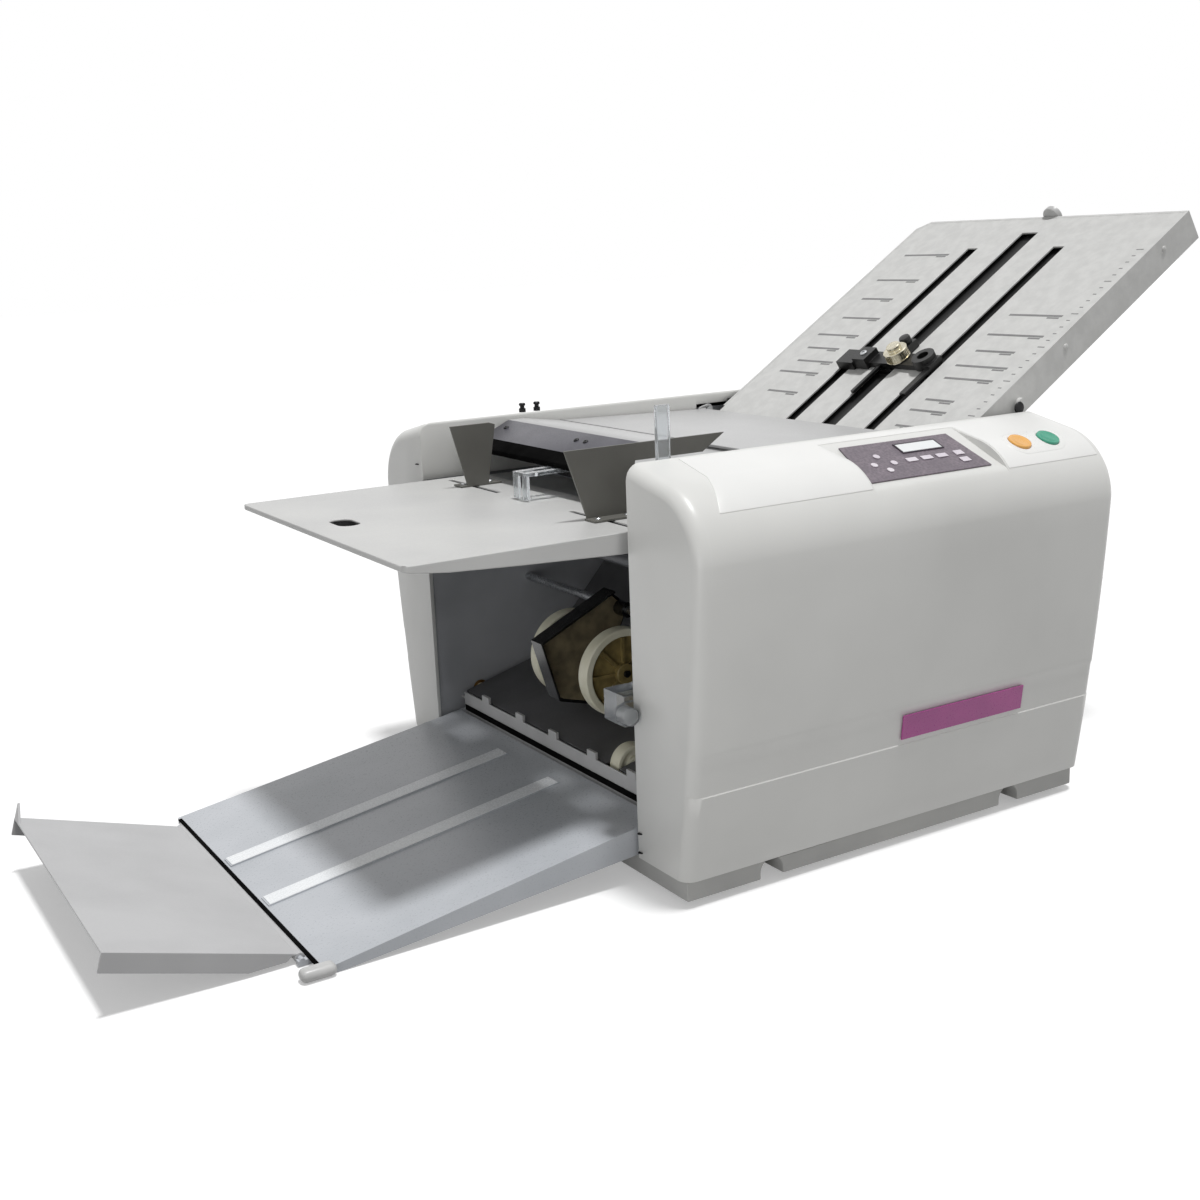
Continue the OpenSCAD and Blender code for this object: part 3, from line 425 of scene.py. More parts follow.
def on_skin(x, angle, out):
    """A point out mm above the near cover's shoulder, at an angle up from the horizontal."""
    a = math.radians(angle)
    r = SHOULDER_R + out
    return at(x, -(SHOULDER_Y + r * math.cos(a)), SHOULDER_Z + r * math.sin(a))


def turns(count, start=0.0):
    """Angles that share a full turn evenly, from start steps on."""
    return [2 * math.pi * (i + start) / count for i in range(count)]


def turned(profile, segments=48):
    """A closed shape turned about Z from (radius, height) points, which close up or end on the axis."""
    work = bmesh.new()
    rings = []
    for radius, height in profile:
        if radius < 1e-6:
            rings.append([work.verts.new((0, 0, height / 1000))])
        else:
            rings.append([work.verts.new((radius * math.cos(a) / 1000, radius * math.sin(a) / 1000,
                                          height / 1000)) for a in turns(segments)])
    closed = len(rings[0]) > 1
    for a, b in zip(rings, rings[1:] + ([rings[0]] if closed else [])):
        for i in range(segments):
            j = (i + 1) % segments
            corners = list(dict.fromkeys((a[i % len(a)], a[j % len(a)], b[j % len(b)], b[i % len(b)])))
            if len(corners) > 2:
                work.faces.new(corners)
    bmesh.ops.recalc_face_normals(work, faces=work.faces)
    return meshed(work)


def frame_at(origin, out, along=(1, 0, 0)):
    """A matrix that puts local Z along out and local X near along, at origin."""
    z = Vector(out).normalized()
    x = Vector(along)
    x = (x - z * x.dot(z)).normalized()
    turn = Matrix((x, z.cross(x), z)).transposed().to_4x4()
    return Matrix.Translation(origin) @ turn


def with_holes(mesh, cutters):
    """The mesh with each cutter mesh taken out of it."""
    blocks = [linked("cutter", cutter) for cutter in cutters]
    result = baked(mesh, [("BOOLEAN", {"object": block, "operation": "DIFFERENCE", "solver": "EXACT"})
                          for block in blocks])
    for block in blocks:
        bpy.data.objects.remove(block)
    return result


BUTTON_X = {"stop_button": 348.0, "start_button": 381.0}
BUTTON_ANGLE, BUTTON_R = 64, 10.0
button_out = Vector((0, -math.cos(math.radians(BUTTON_ANGLE)), math.sin(math.radians(BUTTON_ANGLE))))
cutters = []
for x in BUTTON_X.values():
    cutter = turned([(0, -14), (BUTTON_R + 0.4, -14), (BUTTON_R + 0.4, 8), (0, 8)])
    cutter.transform(frame_at(on_skin(x, BUTTON_ANGLE, 0), button_out))
    cutters.append(cutter)
near_shell = with_holes(cover_shell(-1, True), cutters)
keep("near_cover_shell", near_shell, cover_abs, "machine", "near_cover", 40)

# Moulded ABS, whiter and smoother than the cover: reads as a clean ring about the caps.
bezel_abs = grain("moulded_abs_bezel", ("F1F1EF", "F6F6F4"), 60, 1.4, 0.03, 0.3)
work = bmesh.new()
rings = []
for radius, out in ((16.0, -0.6), (16.0, 0.25), (15.4, 0.6), (14.2, 0.7), (9.0, 0.7), (3.0, 0.7), (0.5, 0.7)):
    ring = []
    for a in turns(48):
        x = BUTTON_X["start_button" if math.cos(a) >= 0 else "stop_button"] + radius * math.cos(a)
        ring.append(work.verts.new(on_skin(x, BUTTON_ANGLE + math.degrees(radius * math.sin(a) / SHOULDER_R),
                                           out)))
    rings.append(ring)
for a, b in zip(rings, rings[1:]):
    for i in range(48):
        work.faces.new((a[i], a[(i + 1) % 48], b[(i + 1) % 48], b[i]))
work.faces.new(rings[-1])
work.faces.new(list(reversed(rings[0])))
bmesh.ops.recalc_face_normals(work, faces=work.faces)
mesh = with_holes(meshed(work), cutters)
keep("button_bezel", mesh, bezel_abs, "machine", crease=30)

# Moulded acrylic: a saturated orange under a glossy skin, with a small sharp highlight.
orange_acrylic = grain("moulded_acrylic_orange", ("EFA83A", "F3B352"), 25, 1.4, 0.02, 0.22, Coat_Weight=0.4)
# The same acrylic in blue-green.
green_acrylic = grain("moulded_acrylic_green", ("1F9A79", "2FAB8B"), 25, 1.4, 0.02, 0.22, Coat_Weight=0.4)
for part, material, slot in (("stop_button", orange_acrylic, "button_orange"),
                             ("start_button", green_acrylic, "button_green")):
    cap = turned([(0, -8.8), (BUTTON_R, -8.8), (BUTTON_R, 1.0), (BUTTON_R - 0.4, 1.7), (BUTTON_R - 1.5, 2.0),
                  (BUTTON_R - 3.0, 1.75), (BUTTON_R * 0.4, 1.35), (0, 1.25)])
    cap.transform(frame_at(on_skin(BUTTON_X[part], BUTTON_ANGLE, 0), button_out))
    keep(part + "_cap", cap, material, part, part, 30)

# == Upper trim ==
# A separately moulded, whiter skin clipped over the near cover's shoulder. Its slanted left end and
# front edge show as fine seams, and the buttons come through it.

# Moulded ABS, the whitest part: it almost clips under the lamp and shows the seam.
trim_abs = grain("moulded_abs_trim", ("EFEFED", "F5F5F3"), 140, 1.5, 0.03, 0.33, Coat_Weight=0.12,
                 Coat_Roughness=0.3)
spine = []
for i in range(41):
    a = math.radians(38.6 + 41.4 * i / 40)
    spine.append((SHOULDER_Y + SHOULDER_R * math.cos(a), SHOULDER_Z + SHOULDER_R * math.sin(a), a))
y0, z0, _ = spine[-1]
slope = math.atan2(TOP - z0, y0 - LIP)
for i in range(1, 9):
    t = i / 8
    spine.append((y0 + (LIP + 4.5 - y0) * t, z0 + (TOP - 1.0 - z0) * t, math.pi / 2 - slope))
work = bmesh.new()
columns, proud = (0.0, 0.06, 0.3, 0.7, 0.94, 1.0), 0.45
gap_left, gap_right, right_end = FACET_LEFT - 1.8, FACET_RIGHT + 1.8, 419.0
for x_from, x_to in ((None, gap_left), (gap_left, gap_right), (gap_right, right_end)):
    grid = []
    for k, (y, z, a) in enumerate(spine):
        start = 27.5 + 17.0 * k / (len(spine) - 1) if x_from is None else x_from
        row = []
        for share in columns:
            row.append(work.verts.new(at(start + (x_to - start) * share, -(y + proud * math.cos(a)),
                                         z + proud * math.sin(a))))
        grid.append(row)
    for k in range(len(grid) - 1):
        y, z, _ = spine[k]
        y2, z2, _ = spine[k + 1]
        if x_from == gap_left and max(facet_height(y, z), facet_height(y2, z2)) > -0.35:
            continue
        for c in range(len(columns) - 1):
            work.faces.new((grid[k][c], grid[k][c + 1], grid[k + 1][c + 1], grid[k + 1][c]))
bmesh.ops.remove_doubles(work, verts=work.verts, dist=1e-5)
bmesh.ops.delete(work, geom=[v for v in work.verts if not v.link_faces], context="VERTS")
bmesh.ops.recalc_face_normals(work, faces=work.faces)
if sum(f.normal.z for f in work.faces) < 0:
    bmesh.ops.reverse_faces(work, faces=work.faces)
mesh = baked(meshed(work), [("SOLIDIFY", {"thickness": 0.0011, "offset": -1, "use_even_offset": True}),
                            ("BEVEL", {"width": 0.00035, "segments": 2, "angle_limit": math.radians(60)})])
mesh = with_holes(mesh, cutters)
keep("top_inlay_skin", mesh, trim_abs, "machine", "top_inlay", 40)

# == Control panel ==
# A printed film with a slanted left end on the sunken flat, with a display window, a row of pale keys
# and a ring of small keys. A plain magenta plate is set low on the near cover's front.

# Printed polyester film: speckled violet-grey with a low sheen and a finely rough skin.
film = bpy.data.materials.new("printed_polyester_film")
tree = blank(film)
place = node(tree, "ShaderNodeTexCoord")
speck = node(tree, "ShaderNodeTexVoronoi", {"Vector": place.outputs["Object"], "Scale": 420.0})
cloud = node(tree, "ShaderNodeTexNoise", {"Vector": place.outputs["Object"], "Scale": 60.0, "Detail": 3.0})
blend = node(tree, "ShaderNodeMath", {0: speck.outputs["Distance"], 1: cloud.outputs["Fac"]},
             operation="MULTIPLY")
tone = node(tree, "ShaderNodeValToRGB", {"Fac": blend.outputs[0]})
tone.color_ramp.elements[0].color = linear("5C535D")
tone.color_ramp.elements[1].color = linear("82767F")
tone.color_ramp.elements[1].position = 0.6
relief = node(tree, "ShaderNodeBump", {"Height": cloud.outputs["Fac"], "Distance": 0.0001, "Strength": 0.5})
shader = node(tree, "ShaderNodeBsdfPrincipled", {"Base Color": tone.outputs["Color"], "Roughness": 0.38,
                                                 "Normal": relief.outputs["Normal"]})
node(tree, "ShaderNodeOutputMaterial", {"Surface": shader.outputs["BSDF"]})
eased("control_panel", film, 0.5)
# Polished acrylic over a pale display: nearly white and the glossiest thing on the panel.
window_glass = grain("polished_acrylic_window", ("EDF1F2", "F6F8F8"), 60, 2.0, 0.01, 0.12, Coat_Weight=0.5)
eased("display_window", window_glass, 0.4)
# Embossed polyester: pale lilac keys that stand out by their raised, satin edges.
key_film = grain("embossed_polyester_key", ("DDD5DE", "EAE4EA"), 30, 1.2, 0.02, 0.35)
eased("panel_keys", key_film, 0.5)

panel_up = Vector((0, math.cos(FACET_TILT), math.sin(FACET_TILT)))
panel_out = Vector((0, -math.sin(FACET_TILT), math.cos(FACET_TILT)))


def on_panel(u, v):
    """A point on the panel's film, u mm from its left end and v mm up its slope."""
    film_face = 1.25
    return at(FACET_LEFT + u, -FACET_Y, FACET_Z) + (panel_up * v + panel_out * film_face) / 1000


def plate(corners, thick_mm, out):
    """A thin flat plate from its corner points, thick_mm towards out."""
    work = bmesh.new()
    low = [work.verts.new(c) for c in corners]
    high = [work.verts.new(Vector(c) + Vector(out).normalized() * thick_mm / 1000) for c in corners]
    work.faces.new(low)
    work.faces.new(high)
    for i in range(len(corners)):
        j = (i + 1) % len(corners)
        work.faces.new((low[i], low[j], high[j], high[i]))
    bmesh.ops.recalc_face_normals(work, faces=work.faces)
    return meshed(work)


def slab(x, y, thick):
    """A flat bar about the origin, x and y mm to each side of it and thick mm high."""
    corners = [(i * x / 1000, j * y / 1000, 0) for i, j in ((-1, -1), (1, -1), (1, 1), (-1, 1))]
    return plate(corners, thick, (0, 0, 1))


def joined(meshes):
    """Several meshes as one."""
    work = bmesh.new()
    for mesh in meshes:
        work.from_mesh(mesh)
    return meshed(work)


# Four bars frame the display.
bars = []
for u0, v0, u1, v1 in ((61.8, 7.8, 106.2, 9), (61.8, 21, 106.2, 22.2),
                       (61.8, 9, 63, 21), (105, 9, 106.2, 21)):
    corners = [on_panel(u, v) for u, v in ((u0, v0), (u1, v0), (u1, v1), (u0, v1))]
    bars.append(plate(corners, 0.8, panel_out))
# Screen-printed ink: a flat dark line with no relief.
dark_print = grain("screen_printed_dark_ink", ("3E363F", "4A414B"), 30, 1.2, 0.02, 0.4)
keep("display_frame", joined(bars), dark_print, "machine")

# Anodised plate: deep magenta that brightens where it mirrors the floor.
badge_foil = grain("anodised_magenta_plate", ("A02A84", "B0368F"), 50, 1.2, 0.02, 0.3, Coat_Weight=0.3)
eased("badge_plate", badge_foil, 0.35)

# == Small repeated things ==
# Screws, ticks, ribs and knurls are one small shape copied onto points that carry a turn and a size,
# then made real. The screws, pegs and hook of the covers come first.


def repeat_tree():
    """The node group that puts a shape on every point and gives the copies their finish."""
    tree = bpy.data.node_groups.new("copies_on_points", "GeometryNodeTree")
    for name, kind in (("Points", "NodeSocketGeometry"), ("Shape", "NodeSocketObject"),
                       ("Finish", "NodeSocketMaterial")):
        tree.interface.new_socket(name, in_out="INPUT", socket_type=kind)
    tree.interface.new_socket("Copies", in_out="OUTPUT", socket_type="NodeSocketGeometry")
    given = node(tree, "NodeGroupInput")
    turn = node(tree, "GeometryNodeInputNamedAttribute", {"Name": "turn"}, data_type="FLOAT_VECTOR")
    size = node(tree, "GeometryNodeInputNamedAttribute", {"Name": "size"}, data_type="FLOAT_VECTOR")
    spin = node(tree, "FunctionNodeEulerToRotation", {0: turn.outputs["Attribute"]})
    shape = node(tree, "GeometryNodeObjectInfo", {"Object": given.outputs["Shape"]})
    copies = node(tree, "GeometryNodeInstanceOnPoints", {"Points": given.outputs["Points"],
                                                         "Instance": shape.outputs["Geometry"],
                                                         "Rotation": spin.outputs[0],
                                                         "Scale": size.outputs["Attribute"]})
    real = node(tree, "GeometryNodeRealizeInstances", {"Geometry": copies.outputs["Instances"]})
    done = node(tree, "GeometryNodeSetMaterial", {"Geometry": real.outputs["Geometry"],
                                                  "Material": given.outputs["Finish"]})
    node(tree, "NodeGroupOutput", {"Copies": done.outputs["Geometry"]})
    return tree


copy_rule = repeat_tree()


def repeated(name, shape, places, material, body):
    """Copies of one shape as one piece. Each place is a matrix, or a matrix and a scale."""
    places = [p if isinstance(p, tuple) else (p, (1, 1, 1)) for p in places]
    points = bpy.data.meshes.new(name + "_points")
    points.from_pydata([m.to_translation() for m, _ in places], [], [])
    turn = points.attributes.new("turn", "FLOAT_VECTOR", "POINT")
    grow = points.attributes.new("size", "FLOAT_VECTOR", "POINT")
    for i, (matrix, scale) in enumerate(places):
        turn.data[i].vector = matrix.to_euler("XYZ")
        grow.data[i].vector = scale
    pattern = linked(name + "_shape", shape)
    carrier = linked(name + "_carrier", points)
    modifier = carrier.modifiers.new("copies", "NODES")
    modifier.node_group = copy_rule
    names = {s.name: s.identifier for s in copy_rule.interface.items_tree if s.in_out == "INPUT"}
    modifier[names["Shape"]] = pattern
    modifier[names["Finish"]] = material
    mesh = result_of(carrier)
    bpy.data.objects.remove(pattern)
    return keep(name, mesh, material, body)


def screw_head(radius, height):
    """A pan head with a cross recess, its seat at z = 0."""
    head = turned([(0, 0), (radius, 0), (radius, height * 0.45), (radius * 0.8, height * 0.85),
                   (radius * 0.35, height), (0, height)], 24)
    arms = []
    for x, y in ((radius * 0.55, radius * 0.13), (radius * 0.13, radius * 0.55)):
        arms.append(slab(x, y, height))
        arms[-1].transform(Matrix.Translation((0, 0, height * 0.5 / 1000)))
    return with_holes(head, arms)


# Zinc-plated steel: small bright points with a slightly cloudy gleam.
bright_screw = grain("zinc_plated_screw", ("B4B6B8", "CED0D2"), 8, 0.8, 0.02, 0.3, 1.0)
# Blackened steel: dark dots with a dull metallic rim.
dark_screw = grain("blackened_steel_screw", ("2A2A2B", "3A3A3B"), 8, 0.8, 0.02, 0.4, 1.0)
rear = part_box("rear_cover")[1].x
places = []
for z in (34, 290):
    for y in (-150, 150):
        places.append(frame_at(Vector((rear, y / 1000, z / 1000)), (1, 0, 0), (0, 1, 0)))
for x in (24, 50):
    for y in (-178.5, 178.5):
        places.append(frame_at(at(x, y, 268.6), (0, 0, 1)))
screws = repeated("cover_screws", screw_head(3.4, 1.9), places, bright_screw, "machine")
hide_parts("screws")
places = []
for x, z in ((18, 30), (180, 200), (150, 120), (330, 300), (405, 300), (405, 60)):
    for side in (-1, 1):
        places.append(frame_at(at(x, side * 184.5, z), (0, -side, 0)))
repeated("frame_screws", screw_head(3.6, 1.6), places, dark_screw, "machine")
places = [frame_at(at(0, -184.5, z), (-1, 0, 0)) for z in (28, 44)]
places.append(frame_at(at(0, 190, 297), (-1, 0, 0)))
repeated("end_screws", screw_head(2.6, 1.0), places, dark_screw, "machine")
peg = turned([(0, -1), (3.4, -1), (3.4, 2.6), (2.2, 3.2), (2.2, 5.2), (3.2, 5.6), (3.2, 7.4),
              (2.6, 8), (0, 8)], 24)
places = [frame_at(at(x, 200, 336), (0, 0, 1)) for x in (122, 138.5)]
repeated("cover_pegs", peg, places, dark_screw, "machine")


def rounded(mesh, width_mm, segments=2):
    """The mesh with its sharp edges rounded."""
    return baked(mesh, [("BEVEL", {"width": width_mm / 1000, "segments": segments})])


outline = ((358, 323), (376, 323), (388, 336), (380, 338), (370, 330), (360, 329))
hook = rounded(plate([at(x, 176, z) for x, z in outline], 4.0, (0, 1, 0)), 0.6)
keep("plate_hook", hook, dark_screw, "machine")

# == Rear cover, inlet and switch ==
# A flat moulded panel between the side covers, slotted for the motor's air, with a mains inlet and a
# rocker switch low down.
eased("rear_cover", cover_abs, 0.6)
# Moulded ABS, dark: charcoal with a soft highlight.
dark_abs = grain("moulded_dark_abs", ("232323", "2D2D2D"), 40, 1.3, 0.04, 0.42)
# Moulded ABS, black: one step darker, so that the rocker reads against its frame.
black_abs = grain("moulded_black_abs", ("101010", "181818"), 40, 1.3, 0.04, 0.38)
eased("power_inlet", dark_abs, 0.5)
eased("power_switch", black_abs, 0.5)
bars = []
for y0, z0, y1, z1 in ((62, 74.2, 82, 77), (62, 47, 82, 49.8),
                       (62, 49.8, 64.3, 74.2), (79.7, 49.8, 82, 74.2)):
    bars.append(plate([at(428, y0, z0), at(428, y1, z0), at(428, y1, z1), at(428, y0, z1)], 1.4, (1, 0, 0)))
keep("switch_frame", joined(bars), dark_abs, "machine")

# == Drive ==
# An induction motor hung on the far frame turns a toothed belt and the centre roller; nylon gears
# pass the turn to the other three rollers.

# Painted casting: dark grey with a coarse, lumpy sheen.
motor_paint = grain("painted_cast_motor", ("3B3C3E", "484A4C"), 30, 1.4, 0.06, 0.45)
# Moulded rubber belt: black and matt.
belt_rubber = grain("moulded_belt_rubber", ("141414", "1D1D1D"), 20, 1.0, 0.05, 0.7)
# Moulded nylon: waxy ivory with a wide soft highlight.
gear_nylon = grain("moulded_nylon_gear", ("E2DFCF", "EBE8DA"), 25, 1.2, 0.02, 0.4)
eased("main_motor", motor_paint, 1.2)
painted("motor_pulley", ground_steel)
painted("drive_belt", belt_rubber)
for part in ("gear_upper", "gear_centre", "gear_right", "gear_lower"):
    painted(part, gear_nylon)
motor_x, motor_z = 205, 62
places = [frame_at(at(motor_x, 118 + 6.4 * i, motor_z), (0, 1, 0)) for i in range(9)]
fin = turned([(31.5, -0.8), (33.6, -0.6), (33.6, 0.6), (31.5, 0.8)], 40)
repeated("motor_fins", fin, places, motor_paint, "machine")
# Lacquered epoxy board: dark green with a glassy surface.
board_resin = grain("lacquered_epoxy_board", ("1C5A33", "24693D"), 15, 0.9, 0.03, 0.35)
painted("control_board", board_resin)

# == Feed table ==
# A 2 mm steel sheet with its edges folded down, light grey coat. Its slots carry the two side guides,
# bent from darker sheet; a black cup under its finger hole is painted shade.

# Powder-coated sheet: light warm grey, satin, with shadows that stay crisp on it.
table_coat = grain("powder_coated_table", ("C5C5C4", "CFCFCD"), 130, 1.8, 0.04, 0.42)
# Powder-coated sheet in olive grey: the darkest flat shapes above the table.
guide_coat = grain("powder_coated_guide", ("605F5A", "6C6B66"), 80, 1.6, 0.05, 0.48)
eased("feed_table", table_coat, 0.9, 3, pierced=True)
# Near black, painted shade: the cup under the finger hole reads as one dark oval with no highlight.
finger_hole_shade_black = grain("finger_hole_painted_shade", ("262626", "303030"), 20, 1.2, 0.05, 0.5)


def oval(radius, low, high):
    """A block that follows the finger hole's outline, radius mm about each of its ends."""
    hole_x, hole_y, end = -145, 20, 7.5
    outline = []
    for a in turns(32, 0.5):
        y = hole_y + math.copysign(end, math.sin(a)) + radius * math.sin(a)
        outline.append(at(hole_x + radius * math.cos(a), y, low))
    return plate(outline, high - low, (0, 0, 1))


cup = rounded(with_holes(oval(12.5, 273.2, 281.65), [oval(11, 274.6, 283)]), 0.4)
keep("finger_cup", cup, finger_hole_shade_black, cad["feed_table"]["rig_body"])
for part in ("near_guide", "far_guide"):
    eased(part, guide_coat, 0.5)
for part, y in (("near_guide", -121), ("far_guide", 115)):
    places = [frame_at(at(x, y, 285.4), (0, 0, 1)) for x in (38, 11)]
    repeated(part + "_screws", screw_head(2.6, 1.3), places, bright_screw, part)

# == Feed roller and separator ==
# Grooved rubber tyres on a steel shaft pull the top sheet over a tan rubber pad, held in a light grey
# moulding under the throat.

# Grooved rubber: black and matt, its ribs showing as fine lines.
feed_rubber = grain("grooved_feed_rubber", ("1E1E1F", "2A2A2B"), 12, 0.9, 0.06, 0.68)
# Cast rubber: plain tan and matt.
pad_rubber = grain("cast_tan_rubber", ("A8875B", "B5966B"), 12, 0.9, 0.06, 0.7)
painted("feed_shaft", ground_steel)
painted("separator_pad", pad_rubber)
# Moulded ABS, light grey: a pale floor that sets off the black strip of painted shade above it.
throat_abs = grain("moulded_grey_throat", ("A2A4A5", "B0B2B3"), 40, 1.4, 0.03, 0.4)
eased("separator_holder", throat_abs, 0.5)
painted("feed_tyres", feed_rubber)
feed_x, feed_z, tyre_r = 98, 305.3, 17.35
places = []
for y in (-49, -3, 43):
    for a in turns(36):
        out = Vector((math.cos(a), 0, math.sin(a)))
        places.append(frame_at(at(feed_x, y, feed_z) + out * tyre_r / 1000, out, (0, 1, 0)))
repeated("feed_tyre_ribs", slab(8, 0.6, 0.35), places, feed_rubber, "feed_roller")
# The infeed guide carries painted shade: a dark grey where the throat is in shadow.
painted("infeed_guide", shade_dark_steel)

# == Hood and deck ==
# The hinged top cover, a light grey moulding. Its sloping front is faced with violet-grey metal sheet
# on four small screws, above a black strip of painted shade. Fingers and two levers: clear plastic.

# Moulded ABS, light grey: flatter and darker than the covers beside it.
deck_abs = grain("moulded_abs_deck", ("B4B4B4", "BEBEBE"), 140, 1.5, 0.03, 0.36)
eased("top_cover", deck_abs, 0.7, pierced=True)
eased("feed_deck", deck_abs, 0.5)
# Brushed and lacquered sheet: violet-grey with a blurred metallic reflection.
hood_metal = grain("brushed_hood_sheet", ("48474F", "55545C"), 40, 1.1, 0.03, 0.36, 0.4)
hood_out = Vector((-21, 0, 47)).normalized()
low, high = (49.5, 311.7), (93.5, 331.4)
corners = [at(x, y, z) for (x, z), y in ((low, -56.5), (low, 176.5), (high, 176.5), (high, -56.5))]
keep("hood_face", rounded(plate(corners, 0.6, hood_out), 0.25), hood_metal, "top_cover")
places = []
for y in (28, 12, -46, 160):
    places.append(frame_at(at(82, y, 326.2) + hood_out * 0.0006, hood_out))
repeated("hood_screws", screw_head(2.6, 1.3), places, dark_screw, "top_cover")

# Matt black that never shines, even edge on: painted shade in the throat under the hood and in the gap under
# the exit strip, and the dark line of the stacker's hinge seam.
shade_and_seam_black = grain("black_gap_shade_and_seam", ("101010", "181818"), 30, 1.2, 0.04, 0.75, Specular_IOR_Level=0.0)
# A matt black strip along the hood's lower edge: painted shade for the dark throat opening.
section = [(46.6, 308.0), (50.4, 307.6), (63.5, 317.4), (62.4, 319.1), (47.2, 312.7)]
throat_shade = plate([at(x, -57.6, z) for x, z in section], 235.2, (0, 1, 0))
keep("hood_seal", rounded(throat_shade, 0.5), shade_and_seam_black, "top_cover")

# Moulded polycarbonate: clear, with bright edges and the parts behind it bent and dimmed.
clear_plastic = bpy.data.materials.new("moulded_clear_polycarbonate")
tree = blank(clear_plastic)
place = node(tree, "ShaderNodeTexCoord")
ripple = node(tree, "ShaderNodeTexNoise", {"Vector": place.outputs["Object"], "Scale": 60.0, "Detail": 1.0})
cast = node(tree, "ShaderNodeValToRGB", {"Fac": ripple.outputs["Fac"]})
cast.color_ramp.elements[0].color = linear("E2E7EB")
cast.color_ramp.elements[1].color = linear("EEF1F3")
gloss = node(tree, "ShaderNodeMapRange", {"Value": ripple.outputs["Fac"], "To Min": 0.04, "To Max": 0.1})
shader = node(tree, "ShaderNodeBsdfPrincipled", {"Base Color": cast.outputs["Color"],
                                                 "Roughness": gloss.outputs["Result"],
                                                 "IOR": 1.49, "Transmission Weight": 0.9})
node(tree, "ShaderNodeOutputMaterial", {"Surface": shader.outputs["BSDF"]})
for part in ("feed_fingers", "pressure_lever", "exit_lever"):
    eased(part, clear_plastic, 0.7)

# == Fold rollers ==
# Four steel-cored rollers with ground grey rubber sleeves, which pull the sheet in and crease it
# where it buckles.

# Ground rubber: dark grey and dull, evenly rough.
roller_rubber = grain("ground_roller_rubber", ("2C2C2E", "3A3A3C"), 25, 1.0, 0.04, 0.6)
for part in ("roller_upper", "roller_centre", "roller_right", "roller_lower"):
    painted(part, roller_rubber)

# == First fold plate ==
# Two coated steel sheets 4.4 mm apart in a shallow frame. The upper sheet has three slots for the stop
# and rows of printed size marks.

# Textured coat: a pale grey with a visible fine speckle and hardly any highlight.
plate_coat = grain("textured_plate_coat", ("D2D2D0", "DCDCDA"), 12, 2.2, 0.09, 0.5)
eased("fold_plate_top", plate_coat, 0.5)
eased("fold_plate_frame", plate_coat, 0.9)
# Near black, painted shade: the lower sheet stays dark so that the slots read as deep.
slot_shade_coat = grain("slot_painted_shade_black", ("1A1A1A", "242424"), 60, 1.6, 0.03, 0.5)
painted("fold_plate_bottom", slot_shade_coat)
slope, plate_length = math.radians(32.4), 435
plate_up = Vector((math.cos(slope), 0, math.sin(slope)))
plate_out = Vector((-math.sin(slope), 0, math.cos(slope)))
plate_edge = at(262.72, 0, 266.52) + plate_up * plate_length / 1000


def on_plate(down, y, out=0.0):
    """A point on the first fold plate, down mm from its top edge and out mm above its face."""
    return plate_edge - plate_up * (down / 1000) + Vector((0, y / 1000, 0)) + plate_out * (out / 1000)


# Screen-printed ink: thin mid-grey lines with no relief.
mark_ink = grain("screen_printed_grey_ink", ("7C7C7C", "888888"), 20, 1.2, 0.01, 0.5)
bar = slab(1.4, 500, 0.12)
places = []
for down, low, high in ((59, 80, 147), (105, 84, 148), (139, 92, 140), (173, 80, 138), (203, 84, 148),
                        (226, 92, 142), (248, 80, 136), (267, 84, 146), (299, 84, 132),
                        (160, -152, -88), (191, -154, -86), (216, -140, -92), (239, -150, -86),
                        (258, -148, -88), (290, -128, -92), (306, -132, -86), (329, -112, -88)):
    line = frame_at(on_plate(down, (low + high) / 2), plate_out, plate_up)
    label = frame_at(on_plate(down + 3.2, low + 9), plate_out, plate_up)
    places += [(line, (1, (high - low) / 1000, 1)), (label, (0.7, 0.014, 1))]
repeated("plate_marks", bar, places, mark_ink, "machine")
places = []
for i in range(26):
    long = 0.008 if i % 5 == 0 else 0.004
    places.append((frame_at(on_plate(56 + 10 * i, -163), plate_out, plate_up), (0.4, long, 1)))
repeated("plate_scale", bar, places, mark_ink, "machine")
places = []
for down in (40, 190, 318):
    for y, out in ((-174, (0, -1, 0)), (176, (0, 1, 0))):
        places.append(frame_at(on_plate(down, y, -11), out, (1, 0, 0)))
rivet = turned([(0, 0), (3, 0), (2.6, 0.9), (1.4, 1.4), (0, 1.5)], 20)
repeated("plate_rivets", rivet, places, plate_coat, "machine")
places = []
for y, out in ((-178, (0, -1, 0)), (180, (0, 1, 0))):
    places.append(frame_at(on_plate(268, y, -19), out, (1, 0, 0)))
stud = turned([(0, -0.5), (5.1, -0.5), (5.5, 0.4), (5.1, 1.2), (2.6, 1.7), (0, 1.8)], 28)
repeated("latch_studs", stud, places, dark_screw, "machine")

# == Paper stop ==
# A black moulded carriage that slides in the slots, with a clamping block and its knurled knob, a
# ring, two flat pointers, and a small heel knob.

# Moulded nylon, black: edges picked out by a satin gleam.
carriage_abs = grain("moulded_black_nylon", ("0C0C0C", "161616"), 30, 1.3, 0.05, 0.36)
eased("stopper_carriage", carriage_abs, 0.6)
